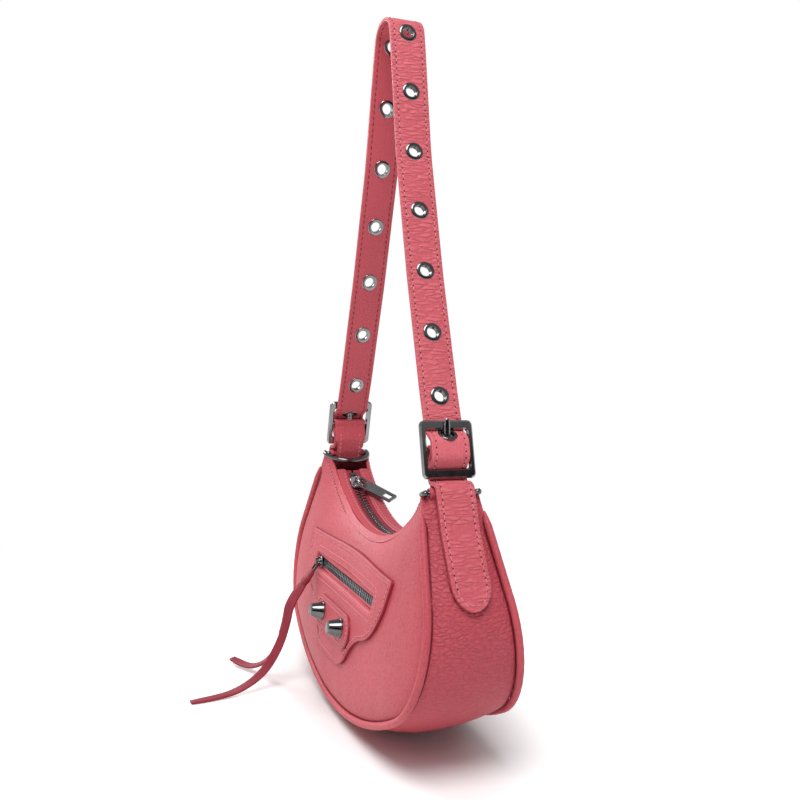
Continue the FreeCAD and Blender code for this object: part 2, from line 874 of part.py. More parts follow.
# Front pocket
def pocket_outline(inset):
    """The patch: straight top, tapering sides, and a narrower lobe below its waist."""
    lobe = pocket_lobe_half - inset
    waist = pocket_waist_height
    top = pocket_top_height - inset
    base = pocket_base_height + inset
    wide = pocket_half_width - inset
    side_drop_share, side_in_share, hip_share, lobe_base_share = 0.5, 0.94, 0.8, 0.58
    half = [
        (wide, top),
        (wide * side_in_share, waist + (top - waist) * side_drop_share),
        (wide * hip_share, waist + inset),
        (lobe, waist + inset),
        (lobe * (1 + lobe_base_share) / 2, (waist + base) / 2),
        (lobe * lobe_base_share, base),
    ]
    rounds = [pocket_corner_round, pocket_side_round, pocket_hip_round]
    rounds += [pocket_round, pocket_round, pocket_hip_round]
    points = [(0, top)] + half + [(-x, z) for x, z in reversed(half)] + [(0, top)]
    path = FlatPath(points, rounds + list(reversed(rounds)))
    return Part.Wire(path.edges(0))


def front_prism(wire):
    return extrude_y(wire, -overrun, 0)


def rectangle(x_range, z_range):
    low = [flat((x, z_range[0])) for x in x_range]
    high = [flat((x, z_range[1])) for x in x_range]
    return Part.makePolygon(low + high[::-1] + low[:1])


def stadium(width, height, centre_height):
    half_run = width / 2 - height / 2
    low = centre_height - height / 2
    high = centre_height + height / 2
    return Part.Wire([
        line(flat((-half_run, low)), flat((half_run, low))),
        arc(flat((half_run, low)), flat((width / 2, centre_height)), flat((half_run, high))),
        line(flat((half_run, high)), flat((-half_run, high))),
        arc(flat((-half_run, high)), flat((-width / 2, centre_height)), flat((-half_run, low))),
    ])


pocket_zip_depth = panel_depth(pocket_zip_half / 2, pocket_zip_height)
window_half = pocket_window_height / 2


def pocket_window():
    return rectangle(around(0, pocket_zip_half), around(pocket_zip_height, window_half))


pocket_tape_face = pocket_tape_thickness - pocket_zip_depth
pocket_teeth_range = around(pocket_tape_face - pocket_tape_thickness / 2, pocket_teeth_height / 2)


def pocket_zip_strips(inner, outer, y_range, x_range):
    strips = []
    for side in (-1, 1):
        z_range = sorted((pocket_zip_height + side * inner, pocket_zip_height + side * outer))
        strips.append(block(x_range, y_range, z_range))
    return strips


pocket_chain_end = pocket_zip_half - pocket_stop_length - pocket_slider_travel_margin
pocket_slider_rest_x = pocket_slider_length / 2 - pocket_chain_end + pocket_slider_travel_margin


def pocket_slider():
    x_range = around(pocket_slider_rest_x, pocket_slider_length / 2)
    front = pocket_teeth_range[0] - slider_clearance
    back = pocket_teeth_range[1] + slider_clearance
    z_range = around(pocket_zip_height, pocket_slider_half_width)
    post_range = (x_range[0], x_range[0] + slider_post_length)
    pieces = [
        block(x_range, (front - pocket_slider_plate, front), z_range),
        block(x_range, (back, back + pocket_slider_plate), z_range),
        block(post_range, (front, back), around(pocket_zip_height, pocket_slider_post)),
    ]
    foot = front - pocket_slider_plate
    eye_top = foot - link_wire - 2 * slider_clearance
    half = link_wire + slider_clearance
    across = around(pocket_slider_rest_x, link_wire)
    for side in (-1, 1):
        z_post = sorted((pocket_zip_height + side * half, pocket_zip_height + side * (half + link_wire)))
        pieces.append(block(across, (eye_top, foot), z_post))
    reach = half + link_wire
    pieces.append(block(across, (eye_top - link_wire, eye_top), around(pocket_zip_height, reach)))
    return pieces[0].multiFuse(pieces[1:]).removeSplitter()


def link_pivot():
    front = pocket_teeth_range[0] - slider_clearance - pocket_slider_plate
    return Vector(pocket_slider_rest_x, front - slider_clearance - link_wire / 2, pocket_zip_height)


def hang(shape):
    """Swing a piece modelled straight below the link's pivot out to where the laces pull it."""
    shape.rotate(ORIGIN, Vector(1, 0, 0), -link_lean_angle)
    shape.translate(link_pivot())
    return shape


def pocket_link():
    """A wire rectangle through the slider's eye and the lace head."""
    half = link_width / 2
    radius = link_wire / 2
    spots = [(-half, 0), (half, 0), (half, -link_length), (-half, -link_length)]
    corners = [flat(spot) for spot in spots]
    wires = [rod(start, end, radius) for start, end in zip(corners, corners[1:] + corners[:1])]
    balls = [Part.makeSphere(radius, corner) for corner in corners]
    return hang(wires[0].multiFuse(wires[1:] + balls).removeSplitter())


def lace_head():
    """A leather sleeve folded over the link's lower bar."""
    top = head_seat - link_length
    half_width = head_width / 2
    half_thick = head_thickness / 2
    sleeve = block((-half_width, half_width), (-half_thick, half_thick), (top - head_length, top))
    across = [edge for edge in sleeve.Edges if abs(edge.tangentAt(edge.FirstParameter).x) > 1 - closeness]
    upper = [edge for edge in across if edge.CenterOfMass.z > top - head_length / 2]
    sleeve = sleeve.makeFillet(head_thickness / 3, upper)
    clear = link_wire / 2 + bar_fit
    half = link_width / 2
    slot = block((-half - clear, half + clear), (-clear, clear), (-link_length - clear, 0))
    return hang(sleeve.cut(slot))


def lace(points):
    """A cord of straight runs and tangent arcs, each arc as large as its runs allow."""
    spots = [Vector(*point) for point in points]
    edges = []
    radii = []
    start = spots[0]
    for before, corner, after in zip(spots, spots[1:], spots[2:]):
        back = (before - corner).normalize()
        ahead = (after - corner).normalize()
        reach = lace_bend_share * min(before.distanceToPoint(corner), corner.distanceToPoint(after))
        half_turn = (math.pi - back.getAngle(ahead)) / 2
        radius = reach / math.tan(half_turn)
        radii.append(round(radius, 1))
        first = corner + back * reach
        last = corner + ahead * reach
        inward = (back + ahead).normalize()
        middle = corner + inward * (radius / math.cos(half_turn) - radius)
        edges.append(line(start, first))
        edges.append(arc(first, middle, last))
        start = last
    edges.append(line(start, spots[-1]))
    path = Part.Wire(edges)
    profile = Part.Wire(Part.makeCircle(lace_diameter / 2, spots[0], spots[1] - spots[0]))
    tube = path.makePipeShell([profile], True, False)
    ideal = math.pi * lace_diameter**2 / 4 * path.Length
    print("lace length", path.Length, "radii", radii, "volume share", tube.Volume / ideal)
    return tube


def panel_seat(x, z):
    """A point of the front panel's outer face, and the way out of it there."""
    across = panel_depth(x + slope_step, z) - panel_depth(x - slope_step, z)
    upward = panel_depth(x, z + slope_step) - panel_depth(x, z - slope_step)
    out = Vector(-across, -2 * slope_step, -upward).normalize()
    return Vector(x, -panel_depth(x, z), z), out


def stud(x, under):
    """A cone stud with a short rim, its post reaching through leather and panel."""
    seat, out = panel_seat(x, stud_height_place)
    foot = seat + out * under
    base = stud_base_diameter / 2
    rim = Part.makeCylinder(base, stud_rim, foot, out)
    cone = Part.makeCone(base, stud_top_diameter / 2, stud_height - stud_rim, foot + out * stud_rim, out)
    post_end = seat - out * (panel_leather + stud_back_gap + stud_back_thickness)
    return rim.fuse(cone).fuse(rod(post_end, foot, stud_post_diameter / 2)).removeSplitter()


def stud_back(x):
    seat, out = panel_seat(x, stud_height_place)
    start = seat - out * (panel_leather + stud_back_gap)
    disc = Part.makeCylinder(stud_back_diameter / 2, stud_back_thickness, start, -out)
    return disc.cut(rod(seat, start - out * stud_back_diameter, stud_post_diameter / 2))


def stud_room(x):
    """What the pocket's cloth leaves free round a stud's back."""
    seat, out = panel_seat(x, stud_height_place)
    return rod(seat, seat - out * stud_back_diameter, stud_back_diameter / 2 + bar_fit)


def build():
    os.makedirs("parts", exist_ok=True)

    # Pipings, rings and loops first, because the leather is trimmed to them
    front_piping = piping(-1)
    back_piping = mirror_y(front_piping)
    right_ring = ring(ring_wire_radius)
    ring_room = ring(ring_wire_radius + slider_clearance)
    right_loop = ring_loop()
    loop_room = bar_rod(overrun, loop_outer + loop_clearance)
    end_room = ring_room.fuse(loop_room)
    save("front_piping", front_piping.cut(end_room).cut(mirror_x(end_room)))
    save("back_piping", back_piping.cut(end_room).cut(mirror_x(end_room)))
    for side, turn in (("right", Part.Shape.copy), ("left", mirror_x)):
        save("ring_" + side, turn(right_ring))
        save("ring_loop_" + side, turn(right_loop))

    # Panels
    panel = slab(0, panel_leather).common(crescent(seam, panel_edge_radius)).cut(front_piping)
    panel = panel.cut(end_room).cut(mirror_x(end_room))
    save("back_panel", mirror_y(panel))
    window = front_prism(pocket_window())
    stud_places = (-stud_spacing / 2, stud_spacing / 2)
    stud_under = pocket_leather + stud_patch_leather
    studs = [stud(x, stud_under) for x in stud_places]
    front = panel.cut(window)
    for piece in studs:
        front = front.cut(piece)
    save("front_panel", front)

    # Gusset, flat where it stands on the table
    outer = above(shell_loft(0, 0), 0)
    inner = above(shell_loft(gusset_leather, piping_radius), gusset_leather)
    gusset = outer.cut(inner).cut(front_piping).cut(back_piping).cut(panel).cut(mirror_y(panel))
    gusset = gusset.cut(end_room).cut(mirror_x(end_room)).cut(right_loop).cut(mirror_x(right_loop))
    save("gusset", largest(gusset))

    # Base board and lining
    board_base = gusset_leather
    board_top = board_base + board_thickness
    save("base_board", block(
        (-board_length / 2, board_length / 2),
        (-board_width / 2, board_width / 2),
        (board_base, board_top),
    ))
    lining_place = gusset_leather + lining_gap
    lining_floor = board_top + lining_gap
    lining_outer = above(shell_loft(lining_place, piping_radius), lining_floor)
    lining_inner = above(shell_loft(lining_place + lining_cloth, piping_radius), lining_floor + lining_cloth)
    lining_top = zip_drum(zip_radius + loop_tab_length)
    lining_outline = Outline(-2 * lining_inset, -2 * lining_inset, -2 * lining_inset, 0)
    lining_crescent = crescent(lining_outline, zip_radius + 2 * lining_inset)
    front_inset = panel_leather + pocket_bag_cloth + pocket_room
    front_lining = slab(front_inset, lining_cloth).common(lining_crescent)
    back_lining = mirror_y(slab(panel_leather + lining_gap, lining_cloth).common(lining_crescent))
    chape_right = chape()
    gusset_lining = lining_outer.common(middle_wedge(front_inset + lining_cloth + lining_inset))
    gusset_lining = gusset_lining.cut(lining_inner).cut(lining_top)
    save("lining_front", front_lining)
    save("lining_back", back_lining)
    save("lining_gusset", largest(gusset_lining))

    # Top zip
    arc_ends = (-zip_half_angle, zip_half_angle)
    facing_radii = (panel_edge_radius, panel_edge_radius + facing_leather)
    facing_edge = panel_leather + lining_gap - facing_half_depth
    facing = zip_sector(facing_radii, (facing_edge, -facing_gap), arc_ends)
    tape = zip_sector(tape_radii, (facing_edge, -teeth_outer), arc_ends)
    teeth = zip_sector(teeth_radii, (-teeth_outer, -teeth_inner), (-zip_stop_angle, zip_stop_angle))
    for name, piece in (("zip_facing", facing), ("top_zip_tape", tape), ("top_zip_teeth", teeth)):
        save(name + "_front", piece)
        save(name + "_back", mirror_y(piece))
    stop_turn = math.degrees(stop_length / zip_radius)
    stop = zip_sector(teeth_radii, (-teeth_outer, teeth_outer), (zip_stop_angle, zip_stop_angle + stop_turn))
    save("top_zip_stops", Part.makeCompound([stop, mirror_x(stop)]))
    save("top_slider", top_slider())
    save("top_puller", top_puller())

    # Front pocket
    patch = slab(-pocket_leather, pocket_leather).common(front_prism(pocket_outline(0))).cut(window)
    stud_patch = slab(-stud_under, stud_patch_leather)
    stud_stadium = stadium(stud_patch_width, stud_patch_height, stud_height_place)
    stud_patch = stud_patch.common(front_prism(stud_stadium))
    pocket_bag = slab(panel_leather + lining_gap, pocket_bag_cloth)
    pocket_bag = pocket_bag.common(front_prism(pocket_outline(pocket_bag_inset)))
    backs = [stud_back(x) for x in stud_places]
    for piece in studs:
        patch = patch.cut(piece)
        stud_patch = stud_patch.cut(piece)
    for x in stud_places:
        pocket_bag = pocket_bag.cut(stud_room(x))
    half = pocket_zip_half
    tape_range = (pocket_tape_face - pocket_tape_thickness, pocket_tape_face)
    tapes = pocket_zip_strips(pocket_teeth_outer, window_half, tape_range, (-half, half))
    chain = (-pocket_chain_end, pocket_chain_end)
    pocket_teeth = pocket_zip_strips(pocket_teeth_inner, pocket_teeth_outer, pocket_teeth_range, chain)
    pocket_stops = []
    for end in (-1, 1):
        x_range = sorted((end * pocket_chain_end, end * (pocket_chain_end + pocket_stop_length)))
        z_range = around(pocket_zip_height, pocket_teeth_outer)
        pocket_stops.append(block(x_range, pocket_teeth_range, z_range))
    slider = pocket_slider()
    travel_room = block(
        (-half, half),
        (-overrun, pocket_teeth_range[1] + slider_clearance + pocket_slider_plate + slider_clearance),
        around(pocket_zip_height, window_half + slider_clearance),
    )
    save("pocket_patch", patch)
    save("stud_patch", stud_patch)
    save("pocket_bag", pocket_bag.cut(travel_room))
    save("pocket_zip_tapes", Part.makeCompound(tapes))
    save("pocket_zip_teeth", Part.makeCompound(pocket_teeth))
    save("pocket_zip_stops", Part.makeCompound(pocket_stops))
    save("pocket_slider", slider)
    save("pocket_link", pocket_link())
    save("lace_head", lace_head())
    save("lace_long", lace(lace_long_points))
    save("lace_short", lace(lace_short_points))
    save("studs", Part.makeCompound(studs))
    save("stud_backs", Part.makeCompound(backs))

    # Strap and its ends
    holes, caps, washers = eyelet_parts()
    corner = tail_rounding()
    trims = holes + [corner, mirror_x(corner)]
    for name, inner_side, outer_side in (("strap_outer", 0, strap_half), ("strap_lining", -strap_half, 0)):
        layer = ribbon(strap_line, inner_side, outer_side, strap_width)
        for trim in trims:
            layer = layer.cut(trim)
        save(name, layer)
        caps = [cap.cut(layer) for cap in caps]
        washers = [washer.cut(layer) for washer in washers]
    save("eyelet_caps", Part.makeCompound([largest(cap) for cap in caps]))
    save("eyelet_washers", Part.makeCompound([largest(washer) for washer in washers]))
    frame = buckle_frame()
    bar = centre_bar()
    right_prong = prong()
    for side, turn in (("right", Part.Shape.copy), ("left", mirror_x)):
        save("buckle_" + side, turn(frame))
        save("buckle_bar_" + side, turn(bar))
        save("prong_" + side, turn(right_prong))
        save("chape_" + side, turn(chape_right))
    print("puller pivot", top_puller_pivot(), "link pivot", link_pivot())
    print("slider angle", slider_rest_angle, "pocket slider x", pocket_slider_rest_x)


def largest(shape):
    return max(shape.Solids, key=lambda solid: solid.Volume)


build()
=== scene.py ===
import bmesh
import bpy
import math
import numpy as np
from mathutils import Matrix, Vector, noise
from mathutils.geometry import delaunay_2d_cdt


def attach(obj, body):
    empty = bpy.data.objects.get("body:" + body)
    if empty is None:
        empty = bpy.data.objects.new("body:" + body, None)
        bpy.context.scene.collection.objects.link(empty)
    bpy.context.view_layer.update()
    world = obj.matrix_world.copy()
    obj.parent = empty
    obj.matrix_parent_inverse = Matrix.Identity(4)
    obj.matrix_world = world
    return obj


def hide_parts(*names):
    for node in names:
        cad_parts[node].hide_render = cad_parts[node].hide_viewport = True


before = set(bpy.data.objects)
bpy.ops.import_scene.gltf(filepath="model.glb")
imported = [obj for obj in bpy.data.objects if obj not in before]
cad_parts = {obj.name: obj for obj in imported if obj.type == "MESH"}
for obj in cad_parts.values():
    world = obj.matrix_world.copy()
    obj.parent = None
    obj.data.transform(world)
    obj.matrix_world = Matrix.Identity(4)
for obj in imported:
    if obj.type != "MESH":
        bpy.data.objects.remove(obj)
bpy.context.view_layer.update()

# Lengths are millimetres; a piece's corners become metres when it is made.
# +X is the bag's right, -Y its front, +Z up, and the table is z = 0.
MM = 0.001

# Shell
body_half_length = 125.0
end_radius = 50.0
end_centre_height = 76.0
piping_base_height = 7.0
horn_half_span = 91.8
horn_height = 149.7
base_half_depth = 35.0
horn_half_depth = 16.7
panel_bulge = 10.0
bulge_reach = 20.0
lean_reach = 15.0
seam_reach = 6.0
panel_leather = 1.6
panel_rim = 0.45
gusset_leather = 1.8
gusset_rim = 0.5
rim_angle = 60.0
base_crown = 10.0
end_crown = 3.0
horn_crown = 1.5
table_softness = 0.5
panel_lump = 0.6
lump_reaches = (34.0, 34.0)
lump_fine_reaches = (12.0, 15.0)
lump_fine_share = 0.45
lump_fine_seed = 5
lump_calm_reach = 9.0
panel_seed = 3.0
gusset_seed = 21.0
pucker_depth = 0.16
pucker_pitch = 7.0
pucker_reach = 3.5
pucker_start = 0.5
panel_rows = 66
panel_row_crowding_share = 0.75
panel_end_columns = 34
panel_middle_columns = 104
panel_tip_angle = 0.04
slope_step = 0.5
gusset_edge_shares = (0.0, 0.015, 0.03, 0.05, 0.075, 0.1, 0.14)
gusset_middle_share = 0.8
gusset_middle_columns = 31
run_counts = (34, 56, 50)
piping_top_gap = 9.0
piping_fade = 9.0
piping_show_radius = 2.1
piping_end_share = 0.3
piping_uneven_share = 0.025
piping_uneven_rates = (1.7, 0.37)
piping_sink = 3.2
piping_sink_reach = 2.9
# Painted seam shade: panels and gusset are tinted darker from the seam out to these distances, where the
# groove beside the piping falls in shade.
seam_shade_near = 2.0
seam_shade_far = 3.6
crease_foot = 25.0
crease_top = 85.0

# Top zip
zip_centre_height = 230.0
zip_radius = 120.0
zip_half_angle = 41.0
zip_stop_angle = 38.5
arc_stations = 150
facing_half_depth = 12.0
facing_tuck = 0.5
facing_gap = 4.8
facing_leather = 1.3
facing_edge_drop = 0.1
facing_edge_reach = 1.2
facing_top_steps = ((2.2, -0.12), (1.0, -0.02), (0.3, 0.24))
facing_base_steps = ((0.3, -0.2), (1.0, 0.0))
tape_thickness = 0.6
tape_clearance = 0.1
tape_inner = 0.6
tape_nose = 0.5
tooth_pitch = 3.0
tooth_length = 1.3
tooth_outer = 3.0
tooth_over = 0.35
tooth_shoulder = 0.9
tooth_neck = 0.1
tooth_neck_share = 0.8
tooth_head_share = 0.5
tooth_cheek_share = 0.7
tooth_bevel = 0.18
tooth_start_shares = {-1: 0.5, 1: 1.0}
tooth_end_share = 0.4
teeth_height = 2.2
tooth_show_height = 1.6
stop_length = 2.5
stop_bevel = 0.35
slider_rest_angle = -34.518
slider_length = 11.0
slider_half_width = 4.5
slider_plate = 1.2
slider_bevel = 0.3
slider_clearance = 0.3
slider_shield_shares = ((-1, 0.62), (-0.72, 0.93), (-0.3, 1), (0.35, 1), (0.8, 0.86), (1, 0.7))
slider_flange = 1.1
flange_out_share = 0.985
flange_length_share = 0.62
flange_sink = 0.3
flange_bevel = 0.15
bridge_room = 2.4
bridge_wire = 1.1
bridge_thick_share = 0.62
bridge_flat_share = 0.8
bridge_foot = 3.6
bridge_sink = 0.4
bridge_steps = ((-3.6, -1.0), (-2.9, -0.2), (-1.6, 0.0), (0.0, 0.05), (1.6, 0.0), (2.7, -0.25))
fork_steps = ((1.9, 0.0, -0.05), (2.9, 0.8, -0.6), (3.6, 1.9, -2.0))
fork_foot = (3.9, 2.5)
fork_sink = 0.3
fork_thick_share = 0.5
puller_length = 32.0
puller_width = 9.0
puller_thickness = 1.6
puller_bevel = 0.28
puller_nose_share = 0.9
puller_nose_length = 1.2
puller_corner = 1.0
puller_eye_length = 6.4
puller_eye_width = 6.4
puller_eye_round = 1.0
puller_crossbar = 1.4
puller_window_length = 6.0
puller_window_width = 4.6
puller_window_round = 0.5
puller_border = 2.2
puller_heading_angle = 34.2
puller_lift_angle = 10.4

# Front pocket
pocket_top_height = 101.0
pocket_half_width = 79.0
pocket_waist_height = 61.0
pocket_base_height = 36.0
pocket_lobe_half = 42.0
pocket_leather = 1.8
pocket_lobe_round = 33.0
pocket_side_round = 40.0
pocket_hip_round = 33.0
pocket_foot_round = 22.0
pocket_corner_round = 2.0
pocket_side_drop_share = 0.5
pocket_side_in_share = 0.94
pocket_hip_share = 0.8
pocket_hip_slope = 3.4
pocket_lobe_base_share = 0.58
pocket_cover_side = 4.0
pocket_cover_rise = 3.0
covered_lump_share = 0.3
covered_sink = 0.12
hollow_margin = 2.2
hollow_fade = 2.0
hollow_depth = 3.4
patch_outline_step = 1.2
patch_rims = ((0.0, 0.58), (0.12, 0.8), (0.35, 0.95), (0.8, 1.0))
patch_painted_levels = 3
patch_sink = 0.25
patch_groove = 0.22
patch_groove_reach = 0.55
patch_spot_gap_share = 0.6
pocket_mesh_step = 1.7
pocket_swell = 0.25
stud_mesh_step = 1.5
stud_swell = 0.2
swell_start = 3.0
swell_fade = 6.0
pocket_zip_height = 83.0
pocket_zip_half = 57.0
pocket_window_height = 9.0
window_round = 0.8
window_step = 1.6
window_rims = ((0.0, 0.2), (0.2, 0.62), (0.6, 0.92), (1.1, 1.0))
window_sink = 0.6
window_row_gaps = (2.0, 5.0)
window_row_grooves = ((0.25, 0.6), (0.2, 0.7))
window_row_sinks = (0.1, 0.05)
pocket_tape_thickness = 0.7
pocket_tape_inner = 2.0
pocket_tape_tuck = 0.6
pocket_tape_end = 0.4
pocket_tape_bevel = 0.12
lip_gap = 0.7
lip_tuck = 1.2
lip_end = 0.5
lip_outer_steps = ((0.0, 0.15), (-0.6, 0.05))
lip_inner_steps = ((0.9, 0.0), (0.35, 0.12), (0.08, 0.35), (0.0, 0.62), (0.2, 0.85))
lip_depth = 0.9
lip_stations = 60
lip_sag = 0.12
lip_sag_reaches = (6.3, 17.0)
pocket_tooth_pitch = 3.2
pocket_tooth_length = 1.5
pocket_tooth_clamp = 0.4
pocket_tooth_over = 0.3
pocket_teeth_outer = 2.4
pocket_teeth_height = 1.8
pocket_stop_length = 1.5
pocket_stop_bevel = 0.3
pocket_slider_length = 8.0
pocket_slider_half_width = 3.4
pocket_slider_plate = 1.0
pocket_slider_bevel = 0.25
pocket_slider_margin = 0.6
pocket_shield_shares = ((-1, 0.6), (-0.6, 1), (0.5, 1), (1, 0.7))
arch_sink = 0.3
arch_shoulder = 0.5
arch_rise = 0.1
arch_shoulder_share = 0.72
arch_thick_share = 0.52
link_wire = 1.4
link_width = 5.0
link_length = 9.0
link_round = 1.1
link_lean_angle = 36.0
head_width = 7.6
head_thickness = 3.6
head_length = 11.0
head_seat = 2.6
head_level_shares = (
    (0.0, 0.35, 0.4), (0.06, 0.62, 0.72), (0.16, 0.82, 0.95), (0.34, 0.9, 1.05),
    (0.55, 0.96, 1.06), (0.6, 1.03, 1.16), (0.68, 1.05, 1.2), (0.86, 1.03, 1.16),
    (0.92, 0.98, 1.06), (1.0, 0.96, 1.0), (1.0, 0.85, 0.75),
)
head_width_power = 0.55
head_thickness_power = 0.7
stud_patch_width = 68.0
stud_patch_height = 20.0
stud_patch_leather = 1.6
stud_spacing = 38.0
stud_height_place = 58.0
stud_base_diameter = 12.0
stud_top_diameter = 7.0
stud_height = 8.0
stud_sink = 0.6
stud_rim = 0.8
stud_rim_share = 0.7
stud_rim_steps = ((-0.12, 0.0), (-0.3, 0.15))
stud_top_steps = ((0.22, -0.32), (0.06, -0.1), (-0.2, 0.0))
stud_crown = 0.12
stud_crown_radius = 0.02

# Laces
lace_width = 6.0
lace_thickness = 1.5
lace_wave_share = 0.04
lace_wave_reach = 7.0
lace_taper_places = (0, 0.05, 0.94, 1)
lace_taper_shares = (0.72, 1, 1, 0.8)
lace_half_section_shares = ((1.0, 0.45), (0.94, 0.9), (0.6, 1.0), (0.0, 0.92))
lace_long_twist = ((0, 25), (0.35, 40), (0.62, 22), (0.8, 4), (1, 0))
lace_short_twist = ((0, 25), (0.35, 58), (0.6, 40), (0.85, 8), (1, 6))
lace_long_points = [
    (-49.4, -41.1, 69.5),
    (-49.2, -50.4, 58.0),
    (-48.9, -53.6, 41.0),
    (-48.0, -59.4, 26.0),
    (-46.3, -69.2, 12.0),
    (-44.0, -84.5, 3.4),
    (-41.4, -101.0, 1.0),
    (-38.9, -116.5, 1.1),
]
lace_short_points = [
    (-51.2, -41.1, 69.5),
    (-51.6, -50.6, 58.0),
    (-52.4, -53.6, 42.0),
    (-55.5, -56.8, 28.5),
    (-64.0, -60.4, 16.0),
    (-76.5, -66.0, 6.6),
    (-91.0, -72.5, 2.4),
    (-103.0, -79.0, 4.4),
]

# Rings and the leather loops that hold them
ring_bar_x = 92.4
ring_bar_height = 150.2
ring_half_width = 15.5
ring_depth = 14.0
ring_wire_radius = 1.6
ring_droop_angle = 15.0
loop_leather = 1.2
loop_clearance = 0.15
loop_half_width = 12.6
loop_tab_length = 14.0
loop_tab_show_share = 0.85
loop_wrap_angle = 345.0
loop_edge_round = 0.3
loop_stations = 60
loop_run_step = 1.0

# Buckles
buckle_x = 87.0
buckle_height = 172.8
buckle_lean_angle = 14.7
buckle_length = 31.5
buckle_width = 31.0
buckle_bar = 3.6
buckle_thickness = 2.6
buckle_round = 3.0
buckle_bevel = 0.95
buckle_end_bar = 5.2
centre_bar_radius = 1.3
bar_fit = 0.1
prong_diameter = 1.9
prong_width = 2.2
prong_length = 15.4
prong_rest_gap = 0.1
prong_spread_share = 1.9
prong_hub_bevel = 0.25
prong_root_share = 0.8
prong_groove = 0.13
prong_groove_reach = 0.28
prong_groove_places = (3.6, 4.7, 5.8)
prong_taper_places = (0, 6.5, 13.0, prong_length)
prong_taper_shares = (1.0, 1.0, 0.92, 0.8)

# Chapes
chape_leather = 1.2
chape_gap = 0.1
chape_width = 22.0
chape_end_reach = 28.0
chape_slot_half = 1.7
chape_slot_room = 0.8
chape_edge_round = 0.4
chape_taper = 2.1
chape_stitch_gap = 1.9
chape_narrow_reach = 12.8
chape_widen_reach = 5.0
chape_crease = 0.06
chape_crease_reaches = (5.0, 15.0)
chape_seed = 12.0
chape_row_start = 0.5
chape_row_stop_gap = 4.0
chape_mesh_step = 0.8
chape_run_step = 0.5

# Strap
strap_width = 22.0
strap_layer = 1.2
strap_clearance = 0.3
strap_apex_height = 425.0
strap_climb_angle = 50.0
strap_step_round = 3.0
strap_behind_reach = 10.5
strap_tail_angle = 20.5
strap_tail_gap = 0.8
strap_turn_reach = 17.6
strap_shoulder_gap = 3.4
strap_shoulder_angle = 46.0
strap_turn_round = 5.0
strap_wrap_round = 2.2
strap_tail_round = 25.0
strap_leg_round = 160.0
strap_top_round = 12.0
flank_share = 0.6
leg_x_shares = (0.84, 0.575, 0.322, 0.178, 0.126)
leg_z_shares = (0.12, 0.378, 0.667, 0.921, 1.0)
strap_edge_round = 0.55
strap_edge_shares = (0.0, 0.12, 0.4, 1.0)
strap_row_places = (1.6, 2.3, 2.9, 3.7)
strap_middle_place = 4.6
strap_middle_columns = 6
strap_tip_length = 15.0
tip_power = 0.52
tip_stitch_gap = 3.4
tip_places = (0.12, 0.4, 0.8, 1.3, 1.9, 2.6, 3.4, 4.2, 5.0)
tip_mesh_end = 5.9
strap_mesh_step = 0.9
strap_run_step = 0.45
strap_wrinkle = 0.22
strap_wrinkle_reaches = (3.4, 15.0)
strap_seed = 4.0
strap_groove = 0.2
strap_padding = 0.1
lining_wrinkle = 0.05
lining_wrinkle_reaches = (9.0, 16.0)
lining_seed = 8.0
lining_groove = 0.16
strap_groove_reach = 0.6
hole_pull_reach = 0.75
hole_pull_share = 0.3
wrinkle_fine_rates = (2.3, 1.7)
wrinkle_fine_share = 0.5
wrinkle_fine_seed = 9

# Eyelets
eyelet_count_per_leg = 7
eyelet_pitch = 37.0
eyelet_outer_radius = 5.5
eyelet_inner_radius = 3.25
eyelet_hole_radius = 3.7
eyelet_barrel_end = 0.5
eyelet_barrel_wall = 0.3
cap_inner_steps = ((0.0, 0.15), (0.14, 0.42), (0.45, 0.58), (0.9, 0.6))
cap_outer_steps = ((-0.7, 0.46), (-0.2, 0.26), (0.0, 0.05), (-0.1, -0.25))
washer_inner_steps = ((0.05, 0.2), (0.12, 0.5), (0.5, 0.6), (1.1, 0.42))
washer_outer_steps = ((-0.5, 0.4), (-0.1, 0.25), (0.0, 0.02), (-0.1, -0.25))
cap_seat = (0.3, -0.3)
washer_seat = (0.4, -0.3)

# Sewing
stitch_pitch = 3.6
stitch_length = 2.7
thread_radius = 0.38
needle_hole_share = 1.25
stitch_edge_gap = 2.6
fine_pitch = 2.9
fine_length = 2.2
thread_sink = 0.1
strap_thread_sink = 0.08
lining_thread_sink = 0.28
shell_row_end = 5.0
shell_row_drop = 3.6
shell_row_lift = 0.05
facing_row_end_angle = 1.5
facing_row_gap = 1.9
row_stations = 240
strap_row_stations = 1400
stitch_ring_shares = ((0.5, 0.45, -0.7), (0.4, 0.9, -0.05), (0.2, 1.0, 0.3))
stitch_crest_share = 0.38
needle_ring_shares = ((1.0, -1.0), (1.0, 0.02), (0.55, 0.1))

closeness = 1e-6
rod_cap_rings = 3

# Camera, solved from the photograph
camera_place = (529.5, -195.4, 225.6)
camera_right = (0.3533, 0.9353, 0.0206)
camera_up = (-0.0592, 0.0004, 0.9982)
camera_forward = (-0.9336, 0.3539, -0.0555)
camera_lens = 40.82
camera_sensor = 36.0

# Worked-out values
strap_half = strap_layer
side_tilt = math.atan((base_half_depth - horn_half_depth) / (horn_height - piping_base_height))
panel_edge_radius = zip_radius - tape_thickness / 2 - tape_clearance - facing_leather
X_WAY, Y_WAY, Z_WAY = np.eye(3)


